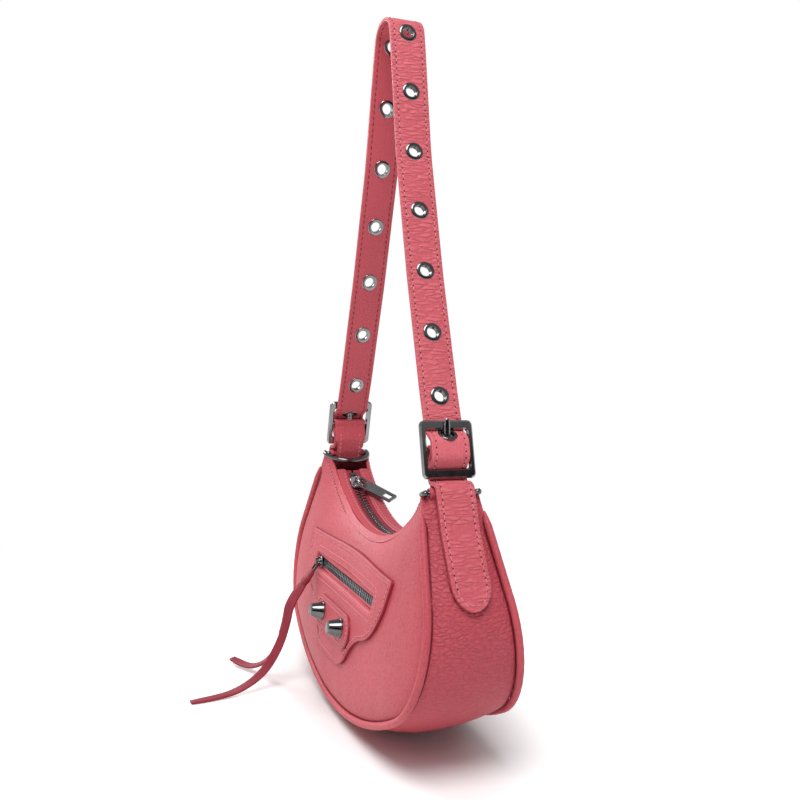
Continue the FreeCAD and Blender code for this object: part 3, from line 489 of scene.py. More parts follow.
# Finishes
class Value:
    """A socket of a finish that takes part in sums."""

    def __init__(self, finish, socket):
        self.finish = finish
        self.socket = socket

    def joined(self, operation, first, second):
        return self.finish.node("ShaderNodeMath", {"operation": operation}, {0: first, 1: second})

    def __add__(self, other):
        return self.joined("ADD", self, other)

    def __sub__(self, other):
        return self.joined("SUBTRACT", self, other)

    def __rsub__(self, other):
        return self.joined("SUBTRACT", other, self)

    def __mul__(self, other):
        return self.joined("MULTIPLY", self, other)

    __radd__ = __add__
    __rmul__ = __mul__

    def between(self, low, high):
        """0 below low, 1 above high, smooth between."""
        settings = {"interpolation_type": "SMOOTHSTEP"}
        return self.finish.node("ShaderNodeMapRange", settings, {"Value": self, 1: low, 2: high})


class Nodes:
    """A node tree that values are worked out in."""

    def __init__(self, tree):
        self.tree = tree

    def node(self, kind, settings, inputs, output=0):
        made = self.tree.nodes.new(kind)
        for key, value in settings.items():
            setattr(made, key, value)
        for key, value in inputs.items():
            self.feed(made.inputs[key], value)
        return Value(self, made.outputs[output])

    def feed(self, socket, value):
        if isinstance(value, Value):
            self.tree.links.new(value.socket, socket)
        else:
            socket.default_value = value

    def part(self, vector, axis):
        return self.node("ShaderNodeSeparateXYZ", {}, {0: vector}, axis)

    def length(self, vector):
        return self.node("ShaderNodeVectorMath", {"operation": "LENGTH"}, {0: vector}, "Value")

    def ray(self, kind):
        return self.node("ShaderNodeLightPath", {}, {}, kind)

    def mixed(self, share, first, second):
        return self.node("ShaderNodeMixShader", {}, {0: share, 1: first, 2: second})


class Finish(Nodes):
    """A material made of nodes, with one shader."""

    def __init__(self, name, **even):
        self.material = bpy.data.materials.new(name)
        self.material.use_nodes = True
        super().__init__(self.material.node_tree)
        self.shader = self.tree.nodes["Principled BSDF"]
        for socket, value in even.items():
            self.shader.inputs[socket.replace("_", " ")].default_value = value

    def place(self):
        return self.node("ShaderNodeTexCoord", {}, {}, "Object")

    def strip_place(self):
        return self.node("ShaderNodeUVMap", {"uv_map": "strip"}, {})

    def stretched(self, place, scale):
        return self.node("ShaderNodeVectorMath", {"operation": "MULTIPLY"}, {0: place, 1: scale})

    def moved(self, place, other):
        return self.node("ShaderNodeVectorMath", {"operation": "ADD"}, {0: place, 1: other})

    def speckle(self, place, scale, detail=2.0, rough=0.5, output="Fac"):
        inputs = {"Vector": place, "Scale": scale, "Detail": detail, "Roughness": rough}
        return self.node("ShaderNodeTexNoise", {}, inputs, output)

    def cells(self, place, scale, feature):
        inputs = {"Vector": place, "Scale": scale}
        return self.node("ShaderNodeTexVoronoi", {"feature": feature}, inputs, "Distance")

    def bands(self, place, scale, direction):
        settings = {"wave_type": "BANDS", "bands_direction": direction}
        return self.node("ShaderNodeTexWave", settings, {"Vector": place, "Scale": scale}, "Fac")

    def tint(self, share, low, high):
        settings = {"data_type": "RGBA"}
        low, high = (tone if isinstance(tone, Value) else (*tone, 1) for tone in (low, high))
        inputs = {"Factor": share, 6: low, 7: high}
        return self.node("ShaderNodeMix", settings, inputs, 2)

    def raised(self, height, strength, distance):
        inputs = {"Height": height, "Strength": strength, "Distance": distance}
        self.paint("Normal", self.node("ShaderNodeBump", {}, inputs, "Normal"))

    def paint(self, socket, value):
        self.feed(self.shader.inputs[socket], value)


# Scales of the patterns are cells to the metre; drifts and rises of the grain are metres.
tone_scale = 14.0
fold_scales = (470.0, 120.0, 1.0)
fold_drift_scale = 220.0
fold_drift = (0.0012, 0.0030, 0.0)
crease_scales = (210.0, 210.0, 460.0)
cloud_scale = 60.0
fibre_scale = 2100.0
fibre_rise = 0.00012
haze_scale = 190.0
mark_scales = (240.0, 2600.0, 900.0)
fuzz_scale = 2600.0
weave_rise = 0.00015
grain_scale = 900.0
gusset_grain_scale = 800.0
lining_grain_scale = 1500.0
tape_threads = 900.0
grain_rise = 0.00018
panel_rise = 0.00016
gusset_rise = 0.0004
strap_rise = 0.0005
smooth_rise = 0.0001
lining_rise = 0.00014


def leather(name, low, high, grain, rise, coat, grain_shade_share=0.2, wrinkled=False, seam_shaded=False, creased=False):
    """Pebbled leather: rounded grains with sunk edges and slow changes of tone.

    A wrinkled one has folds across its strip. A seam-shaded one has painted shade near the seam that its
    strip is measured from. A creased one has level folds that fade towards the base. The colour of the
    grains, wrinkles and folds is painted light and shade: lighter on their tops, darker in their sunk edges.
    """
    made = Finish(name, Specular_IOR_Level=0.32, Coat_Weight=coat, Coat_Roughness=0.4)
    place = made.place()
    warp = made.stretched(made.speckle(place, grain * 0.8, 2, 0.5, "Color"), (0.5 / grain,) * 3)
    pebbles = made.cells(made.moved(place, warp), grain, "SMOOTH_F1")
    grains = 1 - pebbles.between(0.15, 0.8)
    tone = made.speckle(place, tone_scale, 2, 0.5)
    fine = made.speckle(place, grain * 4.5, 2, 0.55)
    height = grains + fine * 0.2
    shade = grains
    if wrinkled:
        strip = made.strip_place()
        drift = made.stretched(made.speckle(strip, fold_drift_scale, 2, 0.5, "Color"), fold_drift)
        laid = made.stretched(made.moved(strip, drift), fold_scales)
        ridges = made.cells(laid, 1.0, "DISTANCE_TO_EDGE").between(0.0, 0.3)
        height = ridges + grains * 0.12 + fine * 0.05
        shade = ridges * 0.7 + grains * 0.3
    if creased:
        laid = made.stretched(made.moved(place, warp), crease_scales)
        climb = made.part(place, "Z").between(crease_foot * MM, crease_top * MM)
        folds = made.cells(laid, 1.0, "DISTANCE_TO_EDGE").between(0.0, 0.25) * (climb * 0.8 + 0.25)
        height = folds + grains * 0.4 + fine * 0.1
        shade = folds * 0.5 + grains * 0.5
    # Painted light and shade: tops of grains, wrinkles and folds are tinted lighter, their sunk edges darker.
    share = (shade * grain_shade_share + tone * 0.6 + fine * 0.06).between(0.0, 0.55 + grain_shade_share)
    colour = made.tint(share, low, high)
    if seam_shaded:
        # Painted shade: darker within a few millimetres of the seam, where the groove beside the piping falls
        # in shade.
        gap = made.part(made.strip_place(), "X")
        dark = 1 - gap.between(seam_shade_near * MM, seam_shade_far * MM)
        colour = made.tint(dark * 0.8, colour, seam_shade)
    made.paint("Base Color", colour)
    made.paint("Roughness", 0.55 - shade * 0.1 + tone * 0.05)
    made.raised(height, 0.85, rise)
    return made.material


def plain_leather(name, low, high, rough):
    """Smooth cut leather with a faint fibre."""
    made = Finish(name, Specular_IOR_Level=0.35)
    place = made.place()
    tone = made.speckle(place, cloud_scale, 3, 0.6)
    fibre = made.speckle(place, fibre_scale, 3, 0.65)
    made.paint("Base Color", made.tint((tone * 0.7 + fibre * 0.4).between(0.2, 0.85), low, high))
    made.paint("Roughness", rough + fibre * 0.14)
    made.raised(fibre + tone * 0.4, 0.35, fibre_rise)
    return made.material


def metal(name, low, high, rough):
    """Plated metal with a thin haze of handling marks."""
    made = Finish(name, Metallic=1.0)
    place = made.place()
    haze = made.speckle(place, haze_scale, 3, 0.6)
    marks = made.speckle(made.stretched(place, mark_scales), 1.0, 2, 0.5)
    made.paint("Base Color", made.tint(haze.between(0.3, 0.75), low, high))
    made.paint("Roughness", rough + haze * 0.07 + marks.between(0.62, 0.8) * 0.1)
    return made.material


def woven(name, low, high, threads):
    """A plain weave: two sets of threads that pass over each other."""
    made = Finish(name, Specular_IOR_Level=0.2)
    place = made.place()
    warp = made.bands(place, threads, "X")
    weft = made.bands(place, threads * 0.8, "DIAGONAL")
    fuzz = made.speckle(place, fuzz_scale, 2, 0.6)
    height = warp * 0.5 + weft * 0.5 + fuzz * 0.3
    made.paint("Base Color", made.tint(height.between(0.2, 1.0), low, high))
    made.paint("Roughness", 0.78 + fuzz * 0.15)
    made.raised(height, 0.5, weave_rise)
    return made.material


coral_low, coral_high = (0.47, 0.058, 0.080), (0.65, 0.108, 0.136)
strap_low, strap_high = (0.55, 0.080, 0.106), (0.80, 0.172, 0.208)
smooth_low = (0.60, 0.092, 0.120)
lining_low, lining_high = (0.54, 0.083, 0.11), (0.68, 0.123, 0.152)
# The gusset's tones are a darker copy of the panels' coral, painting shade on the gusset's ends and base.
gusset_shaded_low, gusset_shaded_high = (0.44, 0.051, 0.074), (0.61, 0.094, 0.125)
# Colour of the painted shade in the groove beside the piping.
seam_shade = (0.15, 0.006, 0.016)
coral_leather = leather("coral pebbled leather", coral_low, coral_high, grain_scale, grain_rise, coat=0.06)
panel_finish = leather("coral panel leather", coral_low, coral_high, grain_scale, panel_rise, coat=0.06,
                       seam_shaded=True)
gusset_finish = leather("coral gusset leather", gusset_shaded_low, gusset_shaded_high, gusset_grain_scale, gusset_rise,
                        coat=0.06, grain_shade_share=0.32, seam_shaded=True, creased=True)
strap_leather = leather("coral strap leather", strap_low, strap_high, grain_scale, strap_rise, coat=0.08,
                        grain_shade_share=0.4, wrinkled=True)
smooth_leather = leather("coral smooth leather", smooth_low, strap_high, grain_scale, smooth_rise, coat=0.16)
lining_leather = leather("strap lining leather", lining_low, lining_high, lining_grain_scale, lining_rise,
                         coat=0.0)
lace_leather = plain_leather("lace leather", (0.24, 0.015, 0.030), (0.34, 0.038, 0.058), 0.5)
edge_paint = plain_leather("painted edge", (0.25, 0.008, 0.022), (0.34, 0.018, 0.038), 0.36)
thread_finish = plain_leather("coral thread", (0.64, 0.17, 0.20), (0.80, 0.29, 0.33), 0.55)
inner_thread = plain_leather("inner thread", (0.22, 0.022, 0.034), (0.34, 0.045, 0.062), 0.6)
# Dark marks of painted shade that stand for the insides of the needle holes.
hole_shade_finish = plain_leather("needle hole shade", (0.07, 0.005, 0.010), (0.12, 0.010, 0.018), 0.7)
gunmetal = metal("gunmetal plating", (0.24, 0.238, 0.24), (0.31, 0.306, 0.308), 0.09)
# A darker copy of the gunmetal plating: painted shade for the darker reflections of the studs, rings, eyelet
# caps and pocket zip hardware.
shaded_gunmetal = metal("shaded plating", (0.115, 0.114, 0.116), (0.165, 0.163, 0.165), 0.09)
bright_metal = metal("bright plating", (0.58, 0.58, 0.585), (0.68, 0.68, 0.685), 0.1)
zip_metal = metal("zip teeth plating", (0.13, 0.132, 0.145), (0.20, 0.202, 0.215), 0.2)
pocket_metal = metal("pocket teeth plating", (0.075, 0.077, 0.086), (0.12, 0.122, 0.132), 0.2)
top_tape_cloth = woven("top zip tape weave", (0.30, 0.030, 0.046), (0.46, 0.064, 0.084), tape_threads)
zip_cloth = woven("zip tape weave", (0.006, 0.006, 0.009), (0.015, 0.015, 0.02), tape_threads)
painted_leather = [coral_leather, edge_paint]
board_finish = plain_leather("stiff board", (0.14, 0.10, 0.06), (0.24, 0.18, 0.12), 0.8)


# Forms
class Form:
    """Corners and faces of a piece while it is being made."""

    def __init__(self, *shapes):
        self.corners = []
        self.strip = []
        self.faces = []
        self.finish_of = []
        self.count = 0
        for corners, faces in shapes:
            self.add(corners, faces)

    def add(self, corners, faces, finish=0, strip=None):
        corners = np.asarray(corners, float).reshape(-1, 3)
        self.corners.append(corners)
        self.strip.append(np.zeros((len(corners), 2)) if strip is None else np.asarray(strip).reshape(-1, 2))
        self.faces += [[int(corner) + self.count for corner in face] for face in faces]
        self.finish_of += [finish] * len(faces)
        self.count += len(corners)

    def turned_by(self, turn):
        self.corners = [turn(corners) for corners in self.corners]
        return self


def make(name, form, finishes, body, stands_for=(), sharp=None, turn_out=True):
    """Turn a form into a piece that rides on a body."""
    mesh = bpy.data.meshes.new(name)
    mesh.from_pydata((np.vstack(form.corners) * MM).tolist(), [], form.faces)
    for finish in finishes:
        mesh.materials.append(finish)
    mesh.polygons.foreach_set("material_index", form.finish_of)
    mesh.polygons.foreach_set("use_smooth", [True] * len(mesh.polygons))
    strip = np.vstack(form.strip) * MM
    if strip.any():
        corner_of = np.empty(len(mesh.loops), int)
        mesh.loops.foreach_get("vertex_index", corner_of)
        layer = mesh.uv_layers.new(name="strip")
        layer.data.foreach_set("uv", strip[corner_of].ravel())
    if turn_out:
        shape = bmesh.new()
        shape.from_mesh(mesh)
        bmesh.ops.recalc_face_normals(shape, faces=shape.faces)
        shape.to_mesh(mesh)
        shape.free()
    if sharp:
        mesh.set_sharp_from_angle(angle=math.radians(sharp))
    piece = bpy.data.objects.new(name, mesh)
    bpy.context.scene.collection.objects.link(piece)
    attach(piece, body)
    if stands_for:
        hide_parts(*stands_for)
    return piece


def grid_faces(columns, rows, flip=False, closed=False):
    """Quads of a grid whose corners run row by row within each column."""
    faces = []
    for column in range(columns if closed else columns - 1):
        here = column * rows
        there = (column + 1) % columns * rows
        for row in range(rows - 1):
            face = [here + row, there + row, there + row + 1, here + row + 1]
            faces.append(face[::-1] if flip else face)
    return faces


def ring_faces(rings, sides, closed=False):
    """Quads between closed rings of corners, with flat ends when the row of rings is open."""
    faces = []
    for ring in range(rings if closed else rings - 1):
        here, there = ring * sides, (ring + 1) % rings * sides
        for side in range(sides):
            after = (side + 1) % sides
            faces.append([here + side, here + after, there + after, there + side])
    if not closed:
        faces += [list(range(sides))[::-1], [(rings - 1) * sides + side for side in range(sides)]]
    return faces


def even_turns(count):
    return np.linspace(0, 2 * math.pi, count, endpoint=False)


def unit(vectors):
    """Vectors in rows, brought to length 1."""
    return vectors / np.linalg.norm(vectors, axis=-1, keepdims=True)


def travel_along(line):
    """How far each point of a line lies along it."""
    return np.concatenate([[0], np.cumsum(np.linalg.norm(np.diff(line, axis=0), axis=1))])


def tube(line, radius, sides, closed=False, across=Y_WAY, flatten=1.0):
    """Corners and faces of a rod along points, with round ends when it is open."""
    line = np.asarray(line, float)
    ways = np.gradient(line, axis=0)
    if closed:
        ways = np.roll(line, -1, axis=0) - np.roll(line, 1, axis=0)
    ways = unit(ways)
    outs = unit(np.cross(ways, np.asarray(across, float)))
    sideways = np.cross(outs, ways)
    radii = np.broadcast_to(np.asarray(radius, float), len(line))
    if not closed:
        cap_turns = np.linspace(0, math.pi / 2, rod_cap_rings + 2)[1:-1]
        steps, caps = np.sin(cap_turns), np.cos(cap_turns)
        lead = [line[0] - ways[0] * radii[0] * step for step in steps[::-1]]
        trail = [line[-1] + ways[-1] * radii[-1] * step for step in steps]
        line = np.vstack([lead, line, trail])
        radii = np.concatenate([radii[0] * caps[::-1], radii, radii[-1] * caps])
        outs = np.vstack([[outs[0]] * rod_cap_rings, outs, [outs[-1]] * rod_cap_rings])
        sideways = np.vstack([[sideways[0]] * rod_cap_rings, sideways, [sideways[-1]] * rod_cap_rings])
    turns = even_turns(sides)[None, :, None]
    ring = np.cos(turns) * outs[:, None] * flatten + np.sin(turns) * sideways[:, None]
    corners = (line[:, None] + ring * radii[:, None, None]).reshape(-1, 3)
    return corners, ring_faces(len(line), sides, closed)


def lathe(profile, segments, origin, axis):
    """A turned shape: radius and height pairs spun about an axis."""
    axis = np.asarray(axis, float) / np.linalg.norm(axis)
    helper = X_WAY if abs(axis[0]) < 0.8 else Z_WAY
    first = unit(np.cross(axis, helper))
    second = np.cross(axis, first)
    turns = even_turns(segments)[:, None]
    spokes = np.cos(turns) * first + np.sin(turns) * second
    radii, heights = np.array(profile, float).T[..., None]
    corners = np.asarray(origin) + spokes[:, None] * radii + axis * heights
    return corners, grid_faces(segments, len(profile), closed=True)


def placed(points, origin, first, second, third):
    points = np.asarray(points, float)
    return np.asarray(origin) + points[:, :1] * first + points[:, 1:2] * second + points[:, 2:3] * third


def turned(points, axis, angle):
    return np.asarray(points) @ np.array(Matrix.Rotation(math.radians(angle), 3, Vector(axis))).T


def mirrored(points):
    return np.asarray(points) * np.array([-1, 1, 1])


sides_and_words = ((-1, "front"), (1, "back"))
ends_and_turns = (("right", np.asarray), ("left", mirrored))


def smoothed(points, count=24):
    """Points along a smooth curve near given points."""
    curve = bpy.data.curves.new("route", "CURVE")
    curve.dimensions = "3D"
    curve.resolution_u = max(2, count // max(1, len(points) - 1) + 2)
    spline = curve.splines.new("NURBS")
    spline.points.add(len(points) - 1)
    for knot, point in zip(spline.points, points):
        knot.co = (*point, 1)
    spline.order_u = 3
    spline.use_endpoint_u = True
    holder = bpy.data.objects.new("route", curve)
    mesh = bpy.data.meshes.new_from_object(holder)
    line = np.array([corner.co[:] for corner in mesh.vertices])
    bpy.data.objects.remove(holder)
    bpy.data.curves.remove(curve)
    bpy.data.meshes.remove(mesh)
    return line


# Flat outlines
def inside_loop(points, loop):
    """Which flat points lie inside a closed loop."""
    x, y = points[:, :1], points[:, 1:2]
    x0, y0 = loop[:, 0], loop[:, 1]
    x1, y1 = np.roll(x0, -1), np.roll(y0, -1)
    crosses = (y0 > y) != (y1 > y)
    slope = np.where(y1 == y0, closeness, y1 - y0)
    return (crosses & (x < x0 + (y - y0) * (x1 - x0) / slope)).sum(axis=1) % 2 == 1


def loop_gap(points, loop):
    """Distance from flat points to a closed loop."""
    starts, ends = loop, np.roll(loop, -1, axis=0)
    runs = ends - starts
    sizes = np.maximum((runs**2).sum(axis=1), closeness)
    best = np.full(len(points), np.inf)
    for start, run, size in zip(starts, runs, sizes):
        share = np.clip(((points - start) @ run) / size, 0, 1)
        best = np.minimum(best, np.linalg.norm(points - start - share[:, None] * run, axis=1))
    return best


def inset(loop, gap):
    """A closed loop, anticlockwise, brought inwards."""
    ways = unit(np.roll(loop, -1, axis=0) - np.roll(loop, 1, axis=0))
    return loop + np.column_stack([-ways[:, 1], ways[:, 0]]) * gap


def anticlockwise(loop):
    loop = np.asarray(loop, float)
    x, y = loop[:, 0], loop[:, 1]
    area = (x * np.roll(y, -1) - np.roll(x, -1) * y).sum()
    return loop if area > 0 else loop[::-1]


def even_loop(loop, step):
    """A closed loop with points added, each less than two steps from the next."""
    found = []
    for start, end in zip(loop, np.roll(loop, -1, axis=0)):
        count = max(1, int(math.dist(start, end) / step))
        found += [start + (end - start) * index / count for index in range(count)]
    return anticlockwise(found)


def both_sides(half):
    """An outline from the points of its lower half, turned over."""
    return [(x, -y) for x, y in half] + [(x, y) for x, y in reversed(half)]


def rounded_rectangle(width, height, radius, steps=5):
    loop = []
    for turn, side_x, side_y in ((0, 1, 1), (1, -1, 1), (2, -1, -1), (3, 1, -1)):
        centre = (side_x * (width / 2 - radius), side_y * (height / 2 - radius))
        for step in range(steps + 1):
            angle = math.pi / 2 * (turn + step / steps)
            loop.append((centre[0] + radius * math.cos(angle), centre[1] + radius * math.sin(angle)))
    return np.array(loop)


def filled(loops, extra=()):
    """Triangles over the first loop, leaving the other loops open."""
    points = np.vstack(list(loops) + ([extra] if len(extra) else []))
    edges = []
    start = 0
    for loop in loops:
        count = len(loop)
        edges += [(start + index, start + (index + 1) % count) for index in range(count)]
        start += count
    found = delaunay_2d_cdt([Vector(point) for point in points], edges, [], 1, closeness)
    spots = np.array([tuple(point) for point in found[0]])
    faces = []
    for face in found[2]:
        middle = spots[list(face)].mean(axis=0)[None]
        if inside_loop(middle, loops[0])[0] and not any(inside_loop(middle, hole)[0] for hole in loops[1:]):
            faces.append(list(face))
    return spots, faces


def plate(outer, holes, low, high, bevel):
    """A flat plate with bevelled rims: corners as (x, y, height) and faces."""
    form = Form()
    loops = [anticlockwise(loop) for loop in [outer, *holes]]
    tops = [inset(loop, bevel if index == 0 else -bevel) for index, loop in enumerate(loops)]
    spots, faces = filled(tops)
    for height, turn in ((high, 1), (low, -1)):
        form.add(np.column_stack([spots, np.full(len(spots), height)]), [face[::turn] for face in faces])
    for loop, top in zip(loops, tops):
        levels = [(top, high), (loop, high - bevel), (loop, low + bevel), (top, low)]
        rings = [np.column_stack([ring, np.full(len(ring), height)]) for ring, height in levels]
        count = len(loop)
        corners = np.array([ring[index] for index in range(count) for ring in rings])
        form.add(corners, grid_faces(count, len(levels), closed=True))
    return np.vstack(form.corners), form.faces


def welded(form):
    """Join corners that meet, so that shading runs over them."""
    corners = np.vstack(form.corners)
    _, first, back = np.unique(np.round(corners, 4), axis=0, return_index=True, return_inverse=True)
    back = back.ravel()
    made = Form()
    kept, finishes = [], []
    for face, finish in zip(form.faces, form.finish_of):
        shared = [int(back[corner]) for corner in face]
        loop = [corner for index, corner in enumerate(shared) if corner != shared[index - 1]]
        if len(set(loop)) > 2:
            kept.append(loop)
            finishes.append(finish)
    made.add(corners[first], kept, 0, np.vstack(form.strip)[first])
    made.finish_of = finishes
    return made


def rounded_box(x_range, y_range, z_range, bevel):
    (x0, x1), (y0, y1) = x_range, y_range
    return plate([(x0, y0), (x1, y0), (x1, y1), (x0, y1)], [], *z_range, bevel)


# Flat runs: complex numbers hold x and height
def rounded_run(points, rounds, step):
    """Points and headings along straight runs joined by round corners."""
    spots = [complex(*point) for point in points]
    found, ways = [], []

    def lay(start, end):
        if abs(end - start) < closeness:
            return
        count = max(1, math.ceil(abs(end - start) / step))
        for index in range(count):
            found.append(start + (end - start) * index / count)
            ways.append((end - start) / abs(end - start))

    start = spots[0]
    for before, corner, after, radius in zip(spots, spots[1:], spots[2:], rounds):
        way_in = (corner - before) / abs(corner - before)
        way_out = (after - corner) / abs(after - corner)
        turn = np.angle(way_out / way_in)
        if radius == 0 or abs(turn) < closeness:
            lay(start, corner)
            start = corner
            continue
        reach = radius * math.tan(abs(turn) / 2)
        first = corner - way_in * reach
        lay(start, first)
        spoke = way_in * -1j * math.copysign(radius, turn)
        count = max(4, math.ceil(radius * abs(turn) / step))
        for index in range(count):
            spin = np.exp(1j * turn * index / count)
            found.append(first - spoke + spoke * spin)
            ways.append(way_in * spin)
        start = corner + way_out * reach
    lay(start, spots[-1])
    found.append(spots[-1])
    ways.append(ways[-1])
    return np.array(found), np.array(ways)


class Run:
    """A flat line across which a strip of leather is laid."""

    def __init__(self, points, rounds, step):
        self.spots, ways = rounded_run(points, rounds, step)
        steps = np.abs(np.diff(self.spots))
        self.travel = np.concatenate([[0], np.cumsum(steps)])
        self.angles = np.unwrap(np.angle(ways))
        self.length = self.travel[-1]

    def at(self, travel):
        x, height, angle = (np.interp(travel, self.travel, values)
                            for values in (self.spots.real, self.spots.imag, self.angles))
        return x + 1j * height, np.exp(1j * angle)

    def point(self, travel, across, out):
        """Points at a travel along the run, a place across it and a height to its right."""
        values = [np.asarray(value, float) for value in (travel, across, out)]
        travel, across, out = np.broadcast_arrays(*values)
        spot, way = self.at(travel)
        spot = spot - 1j * way * out
        return np.stack([spot.real, across, spot.imag], axis=-1)

    def out_way(self, travel):
        right = -1j * self.at(np.asarray(travel, float))[1]
        return np.stack([right.real, np.zeros_like(right.real), right.imag], axis=-1)

    def travel_at(self, spot):
        return self.travel[np.argmin(np.abs(self.spots - complex(*spot)))]


def uneven(first, second, seed, reaches, fine_reaches, fine_share, fine_seed):
    """Slow unevenness over a surface with a finer one on it, from about -1 to 1."""
    values = []
    for a, b in zip(np.ravel(first), np.ravel(second)):
        slow = noise.noise(Vector((a / reaches[0], b / reaches[1], seed)))
        quick = noise.noise(Vector((a / fine_reaches[0], b / fine_reaches[1], fine_seed)))
        values.append(slow + fine_share * quick)
    return np.array(values).reshape(np.shape(first))


def wrinkle(travel, across, seed, reaches):
    """Creases that run across a strip."""
    fine_reaches = [reach / rate for reach, rate in zip(reaches, wrinkle_fine_rates)]
    return uneven(travel, across, seed, reaches, fine_reaches, wrinkle_fine_share, seed + wrinkle_fine_seed)


def strip_shares(half, edge_round):
    """Places across a strip as shares of its half width, close together at its edges."""
    gaps = [share * edge_round for share in strap_edge_shares] + list(strap_row_places)
    middle = np.linspace(half - strap_middle_place, 0, strap_middle_columns)
    right = np.concatenate([half - np.array(gaps), middle]) / half
    return np.concatenate([-right, right[-2::-1]])


def cell_middles(grid):
    return (grid[1:, 1:] + grid[:-1, :-1] + grid[1:, :-1] + grid[:-1, 1:]) / 4


def leather_strip(run, travels, low, high, half_widths, edge_round, holes=(), relief=None, rounded=(1, 1)):
    """A strip of leather along a run between two heights, with holes through it.

    Its two wide faces have finish 0, its edges and the walls of its holes finish 1. The lower and the
    upper face are rounded, and take the relief, where rounded says so.
    """
    shares = strip_shares(np.max(half_widths), edge_round)
    s = np.repeat(travels[:, None], len(shares), axis=1)
    y = half_widths[:, None] * shares
    open_at = np.zeros((len(travels) - 1, len(shares) - 1), bool)
    for centre, radius in holes:
        gap = np.hypot(s - centre, y)
        near = (gap > hole_pull_share * radius) & (np.abs(gap - radius) < hole_pull_reach)
        pull = np.where(near, radius / np.maximum(gap, closeness), 1.0)
        s = centre + (s - centre) * pull
        y = y * pull
        open_at |= np.hypot(cell_middles(s) - centre, cell_middles(y)) < radius
    edge = np.clip((edge_round - half_widths[:, None] * (1 - np.abs(shares))) / edge_round, 0, 1)
    drop = edge_round * (1 - np.sqrt(1 - edge**2))
    lift = relief(s, y) * (1 - edge) if relief else 0
    top = run.point(s, y, high - (drop - lift) * rounded[1])
    base = run.point(s, y, low + (drop - lift) * rounded[0])
    count = s.size
    cells = [cell for cell, is_open in zip(grid_faces(*s.shape), open_at.ravel()) if not is_open]
    wide = cells + [[cell[0] + count] + [corner + count for corner in cell[:0:-1]] for cell in cells]
    edges = {(cell[index - 1], cell[index]) for cell in cells for index in range(4)}
    rims = [(start, end) for start, end in sorted(edges) if (end, start) not in edges]
    walls = [[end, start, start + count, end + count] for start, end in rims]
    form = Form()
    form.add(np.concatenate([top, base]), wide, 0, np.tile(np.stack([s, y], axis=-1), (2, 1, 1)))
    form.faces += walls
    form.finish_of += [1] * len(walls)
    return form


# Sewing
def small_shape(rings, sides=6):
    """A small round shape: each ring is a place along X, a radius and a height."""
    turns = even_turns(sides)
    x, size, rise = np.array(rings).T[..., None]
    corners = np.stack([x + 0 * turns, size * np.cos(turns), rise + size * np.sin(turns)], axis=-1)
    return corners.reshape(-1, 3), ring_faces(len(rings), sides)


# One stitch, 1 long along X, and one needle hole along Z, with unit thickness
stitch_rings = [(-x, size, rise) for x, size, rise in stitch_ring_shares] + [(0.0, 1.0, stitch_crest_share)]
stitch_rings += list(reversed(stitch_ring_shares))
stitch_corners, stitch_faces = small_shape(stitch_rings)
hole_corners, hole_faces = small_shape([(rise, size, 0.0) for size, rise in needle_ring_shares])
hole_corners = hole_corners[:, (1, 2, 0)]


def many(form, shape, spots, ways, outs, sizes, finish):
    """Copies of a small shape, each along a way and out of a surface."""
    corners, faces = shape
    for spot, way, side, out in zip(spots, ways, np.cross(outs, ways), outs):
        form.add(placed(corners * sizes, spot, way, side, out), faces, finish)


def sew(form, line, outs, pitch=fine_pitch, length=fine_length, closed=False, thread=0):
    """A row of stitches with dark marks of painted shade for the needle holes between, along points of a
    surface.
    """
    line, outs = np.asarray(line, float), np.asarray(outs, float)
    if closed:
        line, outs = np.vstack([line, line[:1]]), np.vstack([outs, outs[:1]])
    travel = travel_along(line)
    count = max(1, int(travel[-1] / pitch))
    pitch = travel[-1] / count

    def sample(values, at):
        return np.column_stack([np.interp(at, travel, values[:, axis]) for axis in range(3)])

    def frames(at):
        out = unit(sample(outs, at))
        ahead, behind = np.minimum(at + length / 4, travel[-1]), np.maximum(at - length / 4, 0)
        way = sample(line, ahead) - sample(line, behind)
        way -= out * (way * out).sum(axis=1)[:, None]
        return sample(line, at), unit(way), out

    middles = (np.arange(count) + 0.5) * pitch
    stitch_sizes = (length, thread_radius, thread_radius)
    many(form, (stitch_corners, stitch_faces), *frames(middles), stitch_sizes, thread)
    holes = np.arange(1 if closed else 0, count + 1) * pitch
    hole_sizes = (thread_radius * needle_hole_share,) * 3
    many(form, (hole_corners, hole_faces), *frames(holes), hole_sizes, 1)


def sewn(name, form, body):
    make(name, form, [thread_finish, hole_shade_finish, inner_thread], body)


# Outline of the shell, seen from the front
class Outline:
    """A base arc, two end arcs and straight flanks up to the horns, about a middle line."""

    def __init__(self, drop, grow, horn_grow):
        self.radius = end_radius + grow
        self.end = complex(body_half_length - end_radius, end_centre_height - piping_base_height)
        gap = self.end.imag + drop
        self.base_radius = (self.end.real**2 + gap**2 - self.radius**2) / (2 * (gap - self.radius))
        self.base = complex(0, self.base_radius - drop)
        self.joint_angle = np.angle(self.end - self.base)
        self.joint = self.base + self.base_radius * np.exp(1j * self.joint_angle)
        self.horn = complex(horn_half_span + horn_grow, horn_height - piping_base_height)
        toward = self.horn - self.end
        self.flank_angle = np.angle(toward) - math.acos(self.radius / abs(toward))
        self.flank = self.end + self.radius * np.exp(1j * self.flank_angle)

    def whole_run(self):
        """Points from the right horn round the base to the left horn."""
        flank_count, end_count, base_count = run_counts
        flank = self.horn + (self.flank - self.horn) * np.linspace(0, 1, flank_count, endpoint=False)
        end_turns = np.linspace(self.flank_angle, self.joint_angle, end_count, endpoint=False)
        end = self.end + self.radius * np.exp(1j * end_turns)
        base_turns = np.linspace(self.joint_angle, -math.pi / 2, base_count)
        base = self.base + self.base_radius * np.exp(1j * base_turns)
        half = np.concatenate([flank, end, base])
        return np.concatenate([half, -np.conj(half[-2::-1])])


